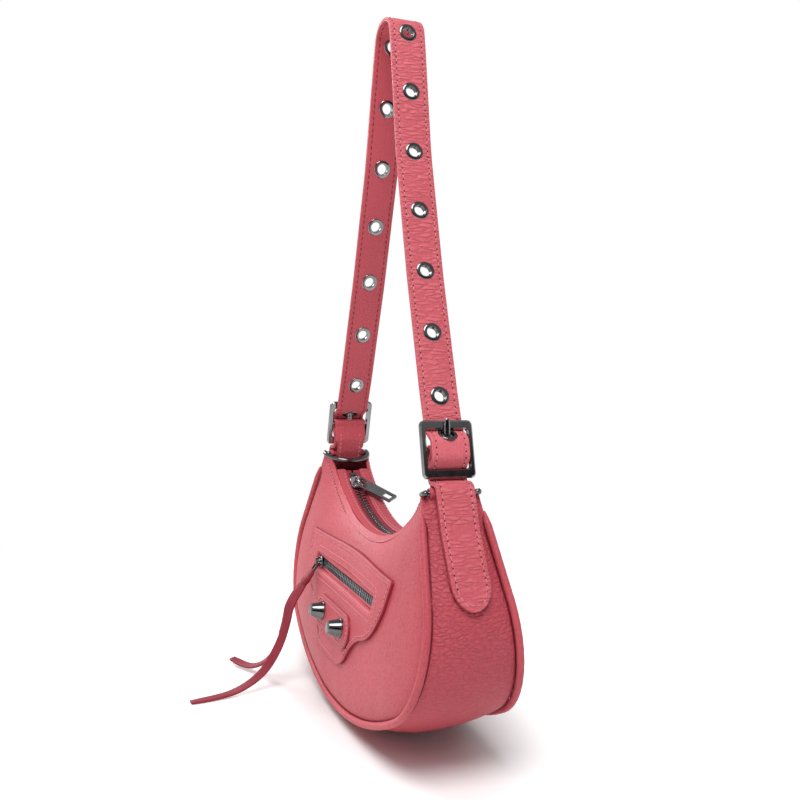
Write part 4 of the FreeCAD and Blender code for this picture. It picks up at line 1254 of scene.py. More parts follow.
seam = Outline(0, 0, 0)
crown = Outline(base_crown, end_crown, horn_crown)
window_half = pocket_window_height / 2


def side_depth(z):
    return base_half_depth - (z - piping_base_height) * math.tan(side_tilt)


def zip_height(x, radius):
    return zip_centre_height - np.sqrt(radius**2 - np.asarray(x, float) ** 2)


def seam_distance(x, rise):
    """How far inside the seam's outline a place lies."""
    spot = np.abs(x) + 1j * np.asarray(rise, float)
    ahead = spot - seam.end
    angle = np.angle(ahead)
    base_gap = seam.base_radius - np.abs(spot - seam.base)
    flank_gap = seam.radius - (ahead * np.exp(-1j * seam.flank_angle)).real
    on_arc = (angle >= seam.joint_angle) & (angle <= seam.flank_angle)
    return np.where(on_arc, seam.radius - np.abs(ahead), np.minimum(base_gap, flank_gap))


def panel_fill(x, z):
    """The swell of a panel, and how far inside its seam it is."""
    inside = seam_distance(x, (z - piping_base_height) / math.cos(side_tilt))
    held = np.maximum(inside, 0)
    swell = panel_bulge * np.maximum(0, (horn_height - z) / (horn_height - piping_base_height))
    return swell * np.where(inside < 0, inside / bulge_reach, 1 - np.exp(-held / bulge_reach)), held


def panel_depth(x, z):
    """How far the outer face of a panel lies from the middle plane."""
    top_x = np.minimum(np.abs(x), horn_half_span)
    top_z = zip_height(top_x, panel_edge_radius)
    fill, inside = panel_fill(x, z)
    lean = side_depth(top_z) + panel_fill(top_x, top_z)[0] - facing_half_depth
    below = top_z - z
    fade = np.where(below > 0, np.exp(-np.maximum(below, 0) / lean_reach), 1 - below / lean_reach)
    return side_depth(z) + fill - lean * fade * (1 - np.exp(-inside / seam_reach))


def on_panel(x, z, lift, side=-1):
    x, z, lift = np.broadcast_arrays(*[np.asarray(value, float) for value in (x, z, lift)])
    return np.stack([x, side * (panel_depth(x, z) + lift), z], axis=-1)


def panel_out(x, z, side=-1):
    """The way straight out of a panel."""
    x, z = np.asarray(x), np.asarray(z)
    run = on_panel(x + slope_step, z, 0, side) - on_panel(x - slope_step, z, 0, side)
    rise = on_panel(x, z + slope_step, 0, side) - on_panel(x, z - slope_step, 0, side)
    return unit(np.cross(run, rise) * -side)


def smooth_step(value):
    value = np.clip(value, 0, 1)
    return value * value * (3 - 2 * value)


def piping_share(z):
    """1 where the piping shows, fading to 0 at the horns' tops."""
    return smooth_step((horn_height - piping_top_gap - z) / piping_fade)


def panel_columns():
    """Places of a panel's columns along X, close together at its ends."""
    turn = math.acos((horn_half_span - seam.end.real) / seam.radius)
    end = seam.end.real + seam.radius * np.cos(np.linspace(panel_tip_angle, turn, panel_end_columns))
    middle = np.linspace(-horn_half_span, horn_half_span, panel_middle_columns)
    return np.concatenate([-end, middle[1:-1], end[::-1]])


def panel_ends(x):
    """Lowest and highest point of a panel at each x."""
    wide = np.abs(x)
    base = seam.base.imag - np.sqrt(seam.base_radius**2 - np.minimum(wide, seam.joint.real) ** 2)
    arch = np.sqrt(np.maximum(seam.radius**2 - (wide - seam.end.real) ** 2, 0))
    low = np.where(wide <= seam.joint.real, base, seam.end.imag - arch)
    share = (wide - seam.horn.real) / (seam.flank.real - seam.horn.real)
    flank = seam.horn.imag + (seam.flank.imag - seam.horn.imag) * share
    high = np.where(wide <= seam.flank.real, flank, seam.end.imag + arch)
    low, high = (piping_base_height + end * math.cos(side_tilt) for end in (low, high))
    zip_edge = zip_height(np.minimum(wide, horn_half_span), panel_edge_radius)
    return low, np.where(wide <= horn_half_span + closeness, np.minimum(zip_edge, horn_height), high)


def lumps(first, second, seed):
    fine_seed = seed + lump_fine_seed
    return uneven(first, second, seed, lump_reaches, lump_fine_reaches, lump_fine_share, fine_seed)


def sewn_sheet(corners, seam_gap, sewn_in, flip=False):
    """A sheet whose strip holds the distance from its seam, wherever the seam shows."""
    # The strip carries the distance that the painted seam shade is measured from; where the piping fades it
    # is pushed past the shade's reach.
    gap = seam_gap + seam_shade_far * (1 - sewn_in)
    form = Form()
    form.add(corners, grid_faces(*gap.shape, flip=flip), 0, np.stack([gap, np.zeros_like(gap)], axis=-1))
    return form


def thickened(piece, thickness, rim):
    """Give a sheet its leather's thickness, inwards, with rounded rims."""
    body = piece.modifiers.new("leather", "SOLIDIFY")
    body.thickness = thickness * MM
    body.offset = -1
    edge = piece.modifiers.new("rim", "BEVEL")
    edge.width = rim * MM
    edge.segments = 2
    edge.limit_method = "ANGLE"
    edge.angle_limit = math.radians(rim_angle)


def panel_sheet(side):
    """One crescent panel, plump, with a hollow behind the pocket's zip on the front."""
    x = panel_columns()
    low, high = panel_ends(x)
    shares = np.linspace(0, 1, panel_rows)
    shares = shares - np.sin(2 * math.pi * shares) / (2 * math.pi) * panel_row_crowding_share
    z = low[:, None] + (high - low)[:, None] * shares
    x = np.repeat(x[:, None], panel_rows, axis=1)
    inside = panel_fill(x, z)[1]
    lift = panel_lump * lumps(x, z, panel_seed + side) * (1 - np.exp(-inside / lump_calm_reach))
    sewn_in = piping_share(z)
    lift = lift - piping_sink * np.exp(-inside / piping_sink_reach) * sewn_in
    along = np.arctan2(z - end_centre_height, x) * body_half_length
    puckers = np.sin(along / pucker_pitch * 2 * math.pi) * np.exp(-inside / pucker_reach)
    lift = lift + pucker_depth * puckers * (inside > pucker_start)
    if side < 0:
        covered = np.abs(x) < pocket_half_width + pocket_cover_side
        covered &= (z < pocket_top_height + pocket_cover_rise) & (z > pocket_base_height - pocket_cover_rise)
        lift = np.where(covered, np.minimum(lift, 0) * covered_lump_share - covered_sink, lift)
        across = smooth_step((pocket_zip_half + hollow_margin - np.abs(x)) / hollow_fade)
        upward = smooth_step((window_half + hollow_margin - np.abs(z - pocket_zip_height)) / hollow_fade)
        lift = lift - hollow_depth * across * upward
    return sewn_sheet(on_panel(x, z, lift, side), inside, sewn_in, flip=side > 0)


for side, word, nodes in (
    (-1, "front", ("front_panel", "lining_front", "pocket_bag")),
    (1, "back", ("back_panel", "lining_back")),
):
    sheet = panel_sheet(side)
    panel = make(word + "_panel_leather", sheet, [panel_finish], "bag", nodes, turn_out=False)
    thickened(panel, panel_leather, panel_rim)


# Gusset
def seam_sides(run):
    """Height and half depth of the bag along a run of the seam."""
    height = piping_base_height + run.imag * math.cos(side_tilt)
    return height, base_half_depth - run.imag * math.sin(side_tilt)


def gusset_sheet():
    """The strip round the ends and the base, crowned between its two seams and flat on the table."""
    edges = 1 - np.array(gusset_edge_shares)
    middle = np.linspace(-gusset_middle_share, gusset_middle_share, gusset_middle_columns)
    across = np.concatenate([-edges, middle, edges[::-1]])[None]
    seam_run, crown_run = seam.whole_run(), crown.whole_run()
    side_z, half_depth = seam_sides(seam_run)
    crown_z = piping_base_height + crown_run.imag
    x = crown_run.real[:, None] + (seam_run.real - crown_run.real)[:, None] * across**2
    z = crown_z[:, None] + (side_z - crown_z)[:, None] * across**2
    y = half_depth[:, None] * across
    travel = np.concatenate([[0], np.cumsum(np.abs(np.diff(crown_run)))])[:, None] + 0 * across
    outward = unit(np.stack([x, z - end_centre_height], axis=-1))
    bulge = panel_lump * lumps(travel, y, gusset_seed) * (1 - np.abs(across) ** 4)
    edge_gap = half_depth[:, None] * (1 - np.abs(across))
    sewn_in = piping_share(z)
    bulge = bulge - piping_sink * np.exp(-edge_gap / piping_sink_reach) * sewn_in
    x = x + outward[..., 0] * bulge
    z = z + outward[..., 1] * bulge
    z = (z + np.sqrt(z**2 + table_softness**2)) / 2
    return sewn_sheet(np.stack([x, y, z], axis=-1), edge_gap, sewn_in)


sheet = gusset_sheet()
gusset_nodes = ("gusset", "lining_gusset")
gusset = make("gusset_leather", sheet, [gusset_finish], "bag", gusset_nodes, turn_out=False)
thickened(gusset, gusset_leather, gusset_rim)

for side, word in sides_and_words:
    run = seam.whole_run()
    height, half_depth = seam_sides(run)
    line = np.column_stack([run.real, side * half_depth, height])
    line = line[line[:, 2] < horn_height - piping_top_gap]
    along = np.arange(len(line))
    wave = np.sin(along * piping_uneven_rates[0]) * np.sin(along * piping_uneven_rates[1])
    ends = piping_end_share + (1 - piping_end_share) * np.sqrt(piping_share(line[:, 2]))
    form = Form(tube(line, piping_show_radius * (1 + piping_uneven_share * wave) * ends, 16))
    make(word + "_piping_cord", form, [coral_leather], "bag", (word + "_piping",))


# Top zip
def zip_spot(radius, angle):
    turn = np.radians(angle)
    rise = zip_centre_height - radius * np.cos(turn)
    return np.stack([radius * np.sin(turn), np.zeros_like(turn), rise], axis=-1)


def zip_frame(angle, side=1):
    """A place on the zip's arc, with the ways along, across and up there."""
    turn = math.radians(angle)
    along = np.array([math.cos(turn), 0, math.sin(turn)])
    up = np.array([-math.sin(turn), 0, math.cos(turn)])
    return zip_spot(zip_radius, angle), along, Y_WAY * side, up


def about(half):
    return (-half, half)


def arc_strip(profile, angles):
    """A closed profile of depth and radius pairs, swept along the zip's arc."""
    depth, radius = np.asarray(profile, float).T
    turns = np.radians(angles)[:, None]
    x, z = radius * np.sin(turns), zip_centre_height - radius * np.cos(turns)
    corners = np.stack([x, np.broadcast_to(depth, x.shape), z], axis=-1)
    return corners, ring_faces(len(angles), len(depth))


arc_angles = np.linspace(*about(zip_half_angle), arc_stations)
facing_edge = facing_half_depth - facing_tuck
facing_base = panel_edge_radius + facing_leather
facing_profile = [(facing_edge, panel_edge_radius + facing_edge_drop)]
facing_profile += [(facing_edge - facing_edge_reach, panel_edge_radius)]
facing_profile += [(facing_gap + depth, panel_edge_radius + drop) for depth, drop in facing_top_steps]
facing_profile += [(facing_gap, panel_edge_radius + facing_leather / 2)]
facing_profile += [(facing_gap + depth, facing_base + drop) for depth, drop in facing_base_steps]
facing_profile += [(facing_edge, facing_base)]
tape_top, tape_base = zip_radius - tape_thickness / 2, zip_radius + tape_thickness / 2
tape_profile = [
    (facing_edge, tape_top),
    (tape_inner + tape_nose, tape_top),
    (tape_inner, zip_radius),
    (tape_inner + tape_nose, tape_base),
    (facing_edge, tape_base),
]
for side, word in sides_and_words:
    for name, profile, finish, node, slot in (
        ("_facing_leather", facing_profile, coral_leather, "zip_facing_", "leather"),
        ("_zip_tape_cloth", tape_profile, top_tape_cloth, "top_zip_tape_", "zip_tape"),
    ):
        form = Form(arc_strip([(side * depth, radius) for depth, radius in profile], arc_angles))
        make(word + name, form, [finish], "bag", (node + word,), sharp=50)


def tooth_shape(reach, over, length, height):
    """A zip tooth: a clamp on the tape and a narrower head past the middle, along X, Y across and Z up."""
    half = length / 2
    right = [
        (half, reach),
        (half, tooth_shoulder),
        (half * tooth_neck_share, tooth_neck),
        (half * tooth_neck_share, -over * tooth_cheek_share),
        (half * tooth_head_share, -over),
    ]
    return plate(right + [(-x, y) for x, y in reversed(right)], [], *about(height / 2), tooth_bevel)


for side, word in sides_and_words:
    form = Form()
    corners, faces = tooth_shape(tooth_outer, tooth_over, tooth_length, tooth_show_height)
    pitch = math.degrees(tooth_pitch / zip_radius)
    start = -zip_stop_angle + pitch * tooth_start_shares[side]
    for angle in np.arange(start, zip_stop_angle - pitch * tooth_end_share, pitch):
        form.add(placed(corners, *zip_frame(angle, side)), faces)
    make(word + "_zip_teeth", form, [zip_metal], "bag", ("top_zip_teeth_" + word,), sharp=40)

form = Form()
stop_ranges = [about(half) for half in (stop_length / 2, tooth_outer, teeth_height / 2)]
corners, faces = rounded_box(*stop_ranges, stop_bevel)
for angle in about(zip_stop_angle + math.degrees(stop_length / 2 / zip_radius)):
    form.add(placed(corners, *zip_frame(angle)), faces)
make("zip_end_stops", form, [zip_metal], "bag", ("top_zip_stops",), sharp=40)


def shield(half, wide, shares):
    """The outline of a slider's plate."""
    return both_sides([(half * along, wide * across) for along, across in shares])


def top_slider_form():
    """Two plates with flanges at their sides, and a forked bridge over the upper one."""
    half, wide = slider_length / 2, slider_half_width
    inner = teeth_height / 2 + slider_clearance
    outer = inner + slider_plate
    outline = shield(half, wide, slider_shield_shares)
    shapes = [plate(outline, [], low, high, slider_bevel) for low, high in ((inner, outer), (-outer, -inner))]
    lip, sunk = tape_thickness / 2 + slider_clearance, inner + flange_sink
    for side in (-1, 1):
        span = sorted((side * (wide - slider_flange), side * wide * flange_out_share))
        for heights in ((lip, sunk), (-sunk, -lip)):
            shapes.append(rounded_box(about(half * flange_length_share), span, heights, flange_bevel))
    at = zip_frame(slider_rest_angle)
    form = Form(*[(placed(corners, *at), faces) for corners, faces in shapes])
    crest = outer + bridge_room + bridge_wire / 2
    bridge = [(-bridge_foot, 0, outer - bridge_sink)]
    bridge += [(along, 0, crest + rise) for along, rise in bridge_steps]
    wire = bridge_wire * bridge_thick_share
    form.add(*tube(placed(smoothed(bridge), *at), wire, 12, flatten=bridge_flat_share))
    for side in (-1, 1):
        fork = [(along, side * aside, crest + rise) for along, aside, rise in fork_steps]
        fork.append((fork_foot[0], side * fork_foot[1], outer - fork_sink))
        form.add(*tube(placed(smoothed(fork), *at), bridge_wire * fork_thick_share, 10, across=at[1]))
    return form


make("top_zip_slider", top_slider_form(), [bright_metal], "top_slider", ("top_slider",), sharp=35)


def top_puller_form():
    """A bar with an eye round the slider's bridge and a window near its free end."""
    half, near = puller_width / 2, -puller_crossbar / 2
    outline = both_sides([
        (near, half * puller_nose_share),
        (near + puller_nose_length, half),
        (puller_length - puller_corner, half),
        (puller_length, half - puller_corner),
    ])
    eye_middle = puller_crossbar / 2 + puller_eye_length / 2
    eye = rounded_rectangle(puller_eye_length, puller_eye_width, puller_eye_round) + [eye_middle, 0]
    window_middle = puller_length - puller_border - puller_window_length / 2
    window = rounded_rectangle(puller_window_length, puller_window_width, puller_window_round)
    holes = [eye, window + [window_middle, 0]]
    corners, faces = plate(outline, holes, *about(puller_thickness / 2), puller_bevel)
    turns = ((Y_WAY, -puller_lift_angle), (Z_WAY, puller_heading_angle), (Y_WAY, -slider_rest_angle))
    for axis, angle in turns:
        corners = turned(corners, axis, angle)
    pivot_radius = zip_radius - teeth_height / 2 - slider_clearance - slider_plate - bridge_room / 2
    return welded(Form((corners + zip_spot(pivot_radius, slider_rest_angle), faces)))


make("top_zip_puller", top_puller_form(), [gunmetal], "top_puller", ("top_puller",), sharp=35)

# Sewing on the shell
form = Form()
x = np.linspace(*about(horn_half_span - shell_row_end), row_stations)
z = zip_height(x, panel_edge_radius + shell_row_drop)
angles = np.linspace(*about(zip_half_angle - facing_row_end_angle), row_stations)
ups = np.column_stack([-np.sin(np.radians(angles)), np.zeros_like(angles), np.cos(np.radians(angles))])
for side in (-1, 1):
    sew(form, on_panel(x, z, shell_row_lift, side), panel_out(x, z, side))
    line = zip_spot(panel_edge_radius - shell_row_lift, angles) + Y_WAY * side * (facing_gap + facing_row_gap)
    sew(form, line, ups)
sewn("shell_stitches", form, "bag")


# Front pocket
def pocket_loop():
    """The pocket's outline: straight above, in at the waist, and a lobe below."""
    wide, lobe, waist, base = pocket_half_width, pocket_lobe_half, pocket_waist_height, pocket_base_height
    half = [
        (wide, pocket_top_height),
        (wide * pocket_side_in_share, waist + (pocket_top_height - waist) * pocket_side_drop_share),
        (wide * pocket_hip_share, waist + pocket_hip_slope),
        (lobe, waist - pocket_hip_slope),
        (lobe * (1 + pocket_lobe_base_share) / 2, (waist + base) / 2),
        (lobe * pocket_lobe_base_share, base),
    ]
    rounds = [pocket_corner_round, pocket_side_round, pocket_hip_round]
    rounds += [pocket_lobe_round, pocket_lobe_round, pocket_foot_round]
    middle = [(0, pocket_top_height)]
    points = middle + half + [(-x, z) for x, z in reversed(half)] + middle
    spots = rounded_run(points, rounds + rounds[::-1], patch_outline_step)[0][:-1]
    return anticlockwise(np.column_stack([spots.real, spots.imag]))


def stadium_loop(width, height, middle):
    """A long loop with round ends."""
    half_run, radius = width / 2 - height / 2, height / 2
    turns = np.linspace(*about(math.pi / 2), max(8, int(math.pi * radius / patch_outline_step)))
    right = np.column_stack([half_run + radius * np.cos(turns), middle + radius * np.sin(turns)])
    run = np.linspace(half_run, -half_run, int(2 * half_run / patch_outline_step))[1:-1]
    upper = np.column_stack([run, np.full(len(run), middle + radius)])
    left = np.column_stack([-right[::-1, 0], right[::-1, 1]])
    lower = np.column_stack([-run, np.full(len(run), middle - radius)])
    return anticlockwise(np.vstack([right, upper, left, lower]))


def patch_form(loop, window, base, thick, step, swell):
    """Leather laid on the front panel: rounded painted rim, a groove under each stitch row."""
    rings = [inset(loop, gap) for gap, _ in patch_rims]
    edges = [rings[-1]]
    low, high = loop.min(axis=0), loop.max(axis=0)
    mesh_x, mesh_z = np.meshgrid(np.arange(low[0], high[0], step), np.arange(low[1], high[1], step))
    x, z = mesh_x.ravel(), mesh_z.ravel()
    spots = np.column_stack([x + (np.round(z / step) % 2) * step / 2, z])
    keep = inside_loop(spots, edges[0])
    if window is not None:
        window_rings = [inset(window, -gap) for gap, _ in window_rims]
        edges.append(window_rings[-1])
        keep &= ~inside_loop(spots, edges[1])
    for edge in edges:
        keep &= loop_gap(spots, edge) > step * patch_spot_gap_share
    flat, faces = filled(edges, spots[keep])

    def lifted(points, share):
        gap = loop_gap(points, loop)
        rise = swell * smooth_step((gap - swell_start) / swell_fade)
        rise -= patch_groove * np.exp(-((gap - stitch_edge_gap) / patch_groove_reach) ** 2)
        if window is not None:
            near = loop_gap(points, window)
            for row, (depth, reach) in zip(window_row_gaps, window_row_grooves):
                rise -= depth * np.exp(-((near - row) / reach) ** 2)
        return on_panel(points[:, 0], points[:, 1], base + thick * share + rise * (share >= 1))

    def rim(outline, sink, rings, rims, flip=False):
        """A rim from below the panel's face up to the patch's face."""
        foot = on_panel(outline[:, 0], outline[:, 1], base - sink)
        levels = [foot] + [lifted(ring, share) for ring, (_, share) in zip(rings, rims)]
        return np.stack(levels, axis=1), grid_faces(len(outline), len(levels), flip=flip, closed=True)

    form = Form((lifted(flat, 1.0), faces), rim(loop, patch_sink, rings, patch_rims))
    for index in range(len(faces), len(form.faces)):
        if (index - len(faces)) % len(patch_rims) < patch_painted_levels:
            form.finish_of[index] = 1
    if window is not None:
        form.add(*rim(window, window_sink, window_rings, window_rims, flip=True))
    return welded(form)


window_corners = rounded_rectangle(2 * pocket_zip_half, pocket_window_height, window_round, 3)
window_loop = even_loop(window_corners + [0, pocket_zip_height], window_step)
patch_loop = pocket_loop()
stud_loop = stadium_loop(stud_patch_width, stud_patch_height, stud_height_place)
pocket_form = patch_form(patch_loop, window_loop, 0.0, pocket_leather, pocket_mesh_step, pocket_swell)
stud_patch_form = patch_form(stud_loop, None, pocket_leather, stud_patch_leather, stud_mesh_step, stud_swell)
make("pocket_leather", pocket_form, painted_leather, "bag", ("pocket_patch",), turn_out=False)
make("stud_leather", stud_patch_form, painted_leather, "bag", ("stud_patch",), turn_out=False)

form = Form()
rows = [(inset(patch_loop, stitch_edge_gap), pocket_leather - thread_sink)]
for gap, sink in zip(window_row_gaps, window_row_sinks):
    rows.append((inset(window_loop, -gap), pocket_leather - sink))
rows += [(inset(stud_loop, stitch_edge_gap), pocket_leather + stud_patch_leather - thread_sink)]
for loop, lift in rows:
    x, z = loop.T
    sew(form, on_panel(x, z, lift), panel_out(x, z), closed=True)
sewn("pocket_stitches", form, "bag")

# Pocket zip
pocket_zip_depth = float(panel_depth(pocket_zip_half / 2, pocket_zip_height))
tape_face = pocket_tape_thickness - pocket_zip_depth
teeth_middle = tape_face - pocket_tape_thickness / 2
teeth_front = teeth_middle - pocket_teeth_height / 2
teeth_back = teeth_middle + pocket_teeth_height / 2
form = Form()
for side in (-1, 1):
    edges = (pocket_tape_inner, window_half + pocket_tape_tuck)
    z_range = sorted(pocket_zip_height + side * edge for edge in edges)
    y_range = (tape_face - pocket_tape_thickness, tape_face)
    form.add(*rounded_box(about(pocket_zip_half + pocket_tape_end), y_range, z_range, pocket_tape_bevel))
make("pocket_zip_cloth", form, [zip_cloth], "bag", ("pocket_zip_tapes",), sharp=40)

lip_front = teeth_front - slider_clearance / 2
lip_inner, lip_outer = pocket_teeth_outer + lip_gap, window_half + lip_tuck
lip_profile = [(lip_outer + step, deep) for step, deep in lip_outer_steps]
lip_profile += [(lip_inner + step, deep) for step, deep in lip_inner_steps]
lip_profile += [(lip_outer, lip_depth)]
form = Form()
for side in (-1, 1):
    x = np.linspace(*about(pocket_zip_half + lip_end), lip_stations)
    sag = lip_sag * np.sin(x / lip_sag_reaches[0]) * np.sin(x / lip_sag_reaches[1] + side)
    corners = [
        (along, lip_front + deep, pocket_zip_height + side * (high + shift))
        for along, shift in zip(x, sag)
        for high, deep in lip_profile
    ]
    form.add(corners, ring_faces(len(x), len(lip_profile)))
make("pocket_zip_lips", form, [coral_leather], "bag", sharp=50)

chain_end = pocket_zip_half - pocket_stop_length - pocket_slider_margin
clamp_reach = pocket_teeth_outer + pocket_tooth_clamp
form = Form()
corners, faces = tooth_shape(clamp_reach, pocket_tooth_over, pocket_tooth_length, pocket_teeth_height)
for side in (-1, 1):
    start = -chain_end + pocket_tooth_pitch * tooth_start_shares[side]
    for x in np.arange(start, chain_end - pocket_tooth_length / 2, pocket_tooth_pitch):
        form.add(placed(corners, (x, teeth_middle, pocket_zip_height), X_WAY, Z_WAY * side, -Y_WAY), faces)
make("pocket_teeth", form, [pocket_metal], "bag", ("pocket_zip_teeth",), sharp=40)
form = Form()
for end in (-1, 1):
    x_range = sorted((end * chain_end, end * (chain_end + pocket_stop_length)))
    z_range = (pocket_zip_height - pocket_teeth_outer, pocket_zip_height + pocket_teeth_outer)
    form.add(*rounded_box(x_range, (teeth_front, teeth_back), z_range, pocket_stop_bevel))
make("pocket_end_stops", form, [zip_metal], "bag", ("pocket_zip_stops",), sharp=40)

slider_x = pocket_slider_length / 2 - chain_end + pocket_slider_margin
slider_front, slider_back = teeth_front - slider_clearance, teeth_back + slider_clearance
slider_foot = slider_front - pocket_slider_plate
link_pivot = np.array([slider_x, slider_foot - slider_clearance - link_wire / 2, pocket_zip_height])


def pocket_slider_form():
    """Two plates and an arch that the link hangs in."""
    outline = shield(pocket_slider_length / 2, pocket_slider_half_width, pocket_shield_shares)
    form = Form()
    at = ((slider_x, 0, pocket_zip_height), X_WAY, Z_WAY, -Y_WAY)
    for low, high in ((-slider_front, -slider_foot), (-slider_back - pocket_slider_plate, -slider_back)):
        corners, faces = plate(outline, [], low, high, pocket_slider_bevel)
        form.add(placed(corners, *at), faces)
    crest = -slider_foot + link_wire + 2 * slider_clearance + link_wire / 2
    reach = link_wire + slider_clearance + link_wire / 2
    rising = [(reach, -slider_foot - arch_sink), (reach, crest - arch_shoulder)]
    rising += [(reach * arch_shoulder_share, crest)]
    arch = [(0, -across, height) for across, height in rising] + [(0, 0, crest + arch_rise)]
    arch += [(0, across, height) for across, height in reversed(rising)]
    form.add(*tube(placed(smoothed(arch), *at), link_wire * arch_thick_share, 12, across=X_WAY))
    return form


make("pocket_zip_slider", pocket_slider_form(), [shaded_gunmetal], "pocket_slider", ("pocket_slider",),
     sharp=35)


def hang(points):
    """Swing points modelled straight below the link's pivot out to where the laces pull them."""
    return turned(points, X_WAY, -link_lean_angle) + link_pivot


def link_form():
    loop = rounded_rectangle(link_width, link_length, link_round, 4) - [0, link_length / 2]
    line = np.column_stack([loop[:, 0], np.zeros(len(loop)), loop[:, 1]])
    across = turned(Y_WAY, X_WAY, -link_lean_angle)
    return Form(tube(hang(line), link_wire / 2, 12, closed=True, across=across))


make("pocket_pull_link", link_form(), [shaded_gunmetal], "pocket_pull", ("pocket_link",))


def head_form():
    """A leather sleeve folded over the link's lower bar, wrapped once round the laces."""
    top = head_seat - link_length
    turns = even_turns(28)
    across = np.sign(np.cos(turns)) * np.abs(np.cos(turns)) ** head_width_power * head_width / 2
    out = np.sign(np.sin(turns)) * np.abs(np.sin(turns)) ** head_thickness_power * head_thickness / 2
    corners = []
    for share, wide, thick in head_level_shares:
        corners += [(x, y, top - head_length * share) for x, y in zip(across * wide, out * thick)]
    return Form((hang(corners), ring_faces(len(head_level_shares), len(turns))))


make("lace_head_leather", head_form(), [lace_leather], "pocket_pull", ("lace_head",))


# Laces: flat strips that twist as they hang and lie
def lace_strip(name, points, node, twist):
    line = smoothed(points, 130)
    ways = unit(np.gradient(line, axis=0))
    travel = travel_along(line)
    length = travel[-1]
    shares = travel / length
    places, angles = zip(*twist)
    angles = np.interp(shares, places, np.radians(angles))[:, None]
    level = unit(np.cross(ways, Z_WAY))
    across = level * np.cos(angles) + np.cross(level, ways) * np.sin(angles)
    out = np.cross(ways, across)
    taper = np.interp(shares, lace_taper_places, lace_taper_shares)
    widths = lace_width / 2 * (1 + lace_wave_share * np.sin(travel / lace_wave_reach)) * taper
    upper = [(-wide, thick) for wide, thick in lace_half_section_shares]
    upper += [(wide, thick) for wide, thick in reversed(lace_half_section_shares[:-1])]
    section = upper + [(-wide, -thick) for wide, thick in upper]
    corners = [
        spot + side * width * wide + rise * lace_thickness / 2 * thick
        for spot, side, rise, width in zip(line, across, out, widths)
        for wide, thick in section
    ]
    form = Form((corners, ring_faces(len(line), len(section))))
    lace = make(name, form, [lace_leather], "pocket_pull", (node,))


lace_strip("long_lace", lace_long_points, "lace_long", lace_long_twist)
lace_strip("short_lace", lace_short_points, "lace_short", lace_short_twist)


# Studs
def stud_form():
    form = Form()
    base, tip = stud_base_diameter / 2, stud_top_diameter / 2
    profile = [(base, -stud_sink), (base, 0.0), (base, stud_rim * stud_rim_share)]
    profile += [(base + step, stud_rim + rise) for step, rise in stud_rim_steps]
    profile += [(tip + step, stud_height + rise) for step, rise in stud_top_steps]
    profile += [(stud_crown_radius, stud_height + stud_crown)]
    segments = 64
    feet = [column * len(profile) for column in range(segments)]
    ends = [[foot + len(profile) - 1 for foot in feet], feet[::-1]]
    for x in about(stud_spacing / 2):
        out = panel_out(x, stud_height_place)
        foot = on_panel(x, stud_height_place, 0) + out * (pocket_leather + stud_patch_leather)
        corners, faces = lathe(profile, segments, foot, out)
        form.add(corners, faces + ends)
    return form


make("cone_studs", stud_form(), [shaded_gunmetal], "bag", ("studs", "stud_backs"), sharp=25)

# Rings and their loops
ring_droop = math.radians(ring_droop_angle)
ring_normal = np.array([math.sin(ring_droop), 0, -math.cos(ring_droop)])
loop_inner = ring_wire_radius + loop_clearance
loop_outer = loop_inner + loop_leather


def ring_line():
    """A straight bar and a bow, drooping inwards."""
    bow_radius = (ring_half_width**2 + ring_depth**2) / (2 * ring_depth)
    middle = ring_depth - bow_radius
    turn = math.asin(ring_half_width / bow_radius)
    if middle < 0:
        turn = math.pi - turn
    turns = np.linspace(-turn, turn, 60)
    bar = np.linspace(ring_half_width, -ring_half_width, 30)[1:-1]
    across = np.concatenate([bow_radius * np.sin(turns), bar])
    inward = np.concatenate([middle + bow_radius * np.cos(turns), np.zeros_like(bar)])
    x, z = ring_bar_x - inward * math.cos(ring_droop), ring_bar_height - inward * math.sin(ring_droop)
    return np.column_stack([x, across, z])


def loop_points():
    """The leather round a ring's bar, up from its tab and round."""
    lean = np.angle(seam.flank - seam.horn)
    start = lean + math.pi / 2 + math.pi
    turns = np.linspace(start, start + math.radians(loop_wrap_angle), 40)
    bend = complex(ring_bar_x, ring_bar_height) + (loop_inner + loop_leather / 2) * np.exp(1j * turns)
    tab = bend[0] + np.exp(1j * lean) * loop_tab_length * loop_tab_show_share
    return [(spot.real, spot.imag) for spot in (tab, *bend)]


for side, turn in ends_and_turns:
    form = Form(tube(turn(ring_line()), ring_wire_radius, 20, closed=True, across=turn(ring_normal)))
    make("d_ring_" + side, form, [shaded_gunmetal], "ring_" + side, ("ring_" + side,))
    points = loop_points()
    run = Run(points, [0] * (len(points) - 2), loop_run_step)
    travels, halves = np.linspace(0, run.length, loop_stations), np.full(loop_stations, loop_half_width)
    form = leather_strip(run, travels, *about(loop_leather / 2), halves, loop_edge_round).turned_by(turn)
    make("ring_loop_leather_" + side, form, painted_leather, "bag", ("ring_loop_" + side,))


# Buckles
def buckle_spot(along, out):
    """A place along the buckle and out of it, in the bag's middle plane."""
    lean = math.radians(buckle_lean_angle)
    x = buckle_x - along * math.sin(lean) + out * math.cos(lean)
    return (x, buckle_height + along * math.cos(lean) + out * math.sin(lean))


def buckle_set(points):
    """Lean points modelled about an upright buckle's middle, and bring them to its place."""
    return turned(points, Y_WAY, -buckle_lean_angle) + np.array([buckle_x, 0, buckle_height])


rest_edge = (buckle_length / 2 - buckle_bar, buckle_thickness / 2)
prong_hub_radius = centre_bar_radius + bar_fit + prong_diameter / 2
prong_lift = math.asin((prong_diameter / 2 + prong_rest_gap) / math.hypot(*rest_edge))
prong_angle = math.atan2(rest_edge[1], rest_edge[0]) + prong_lift


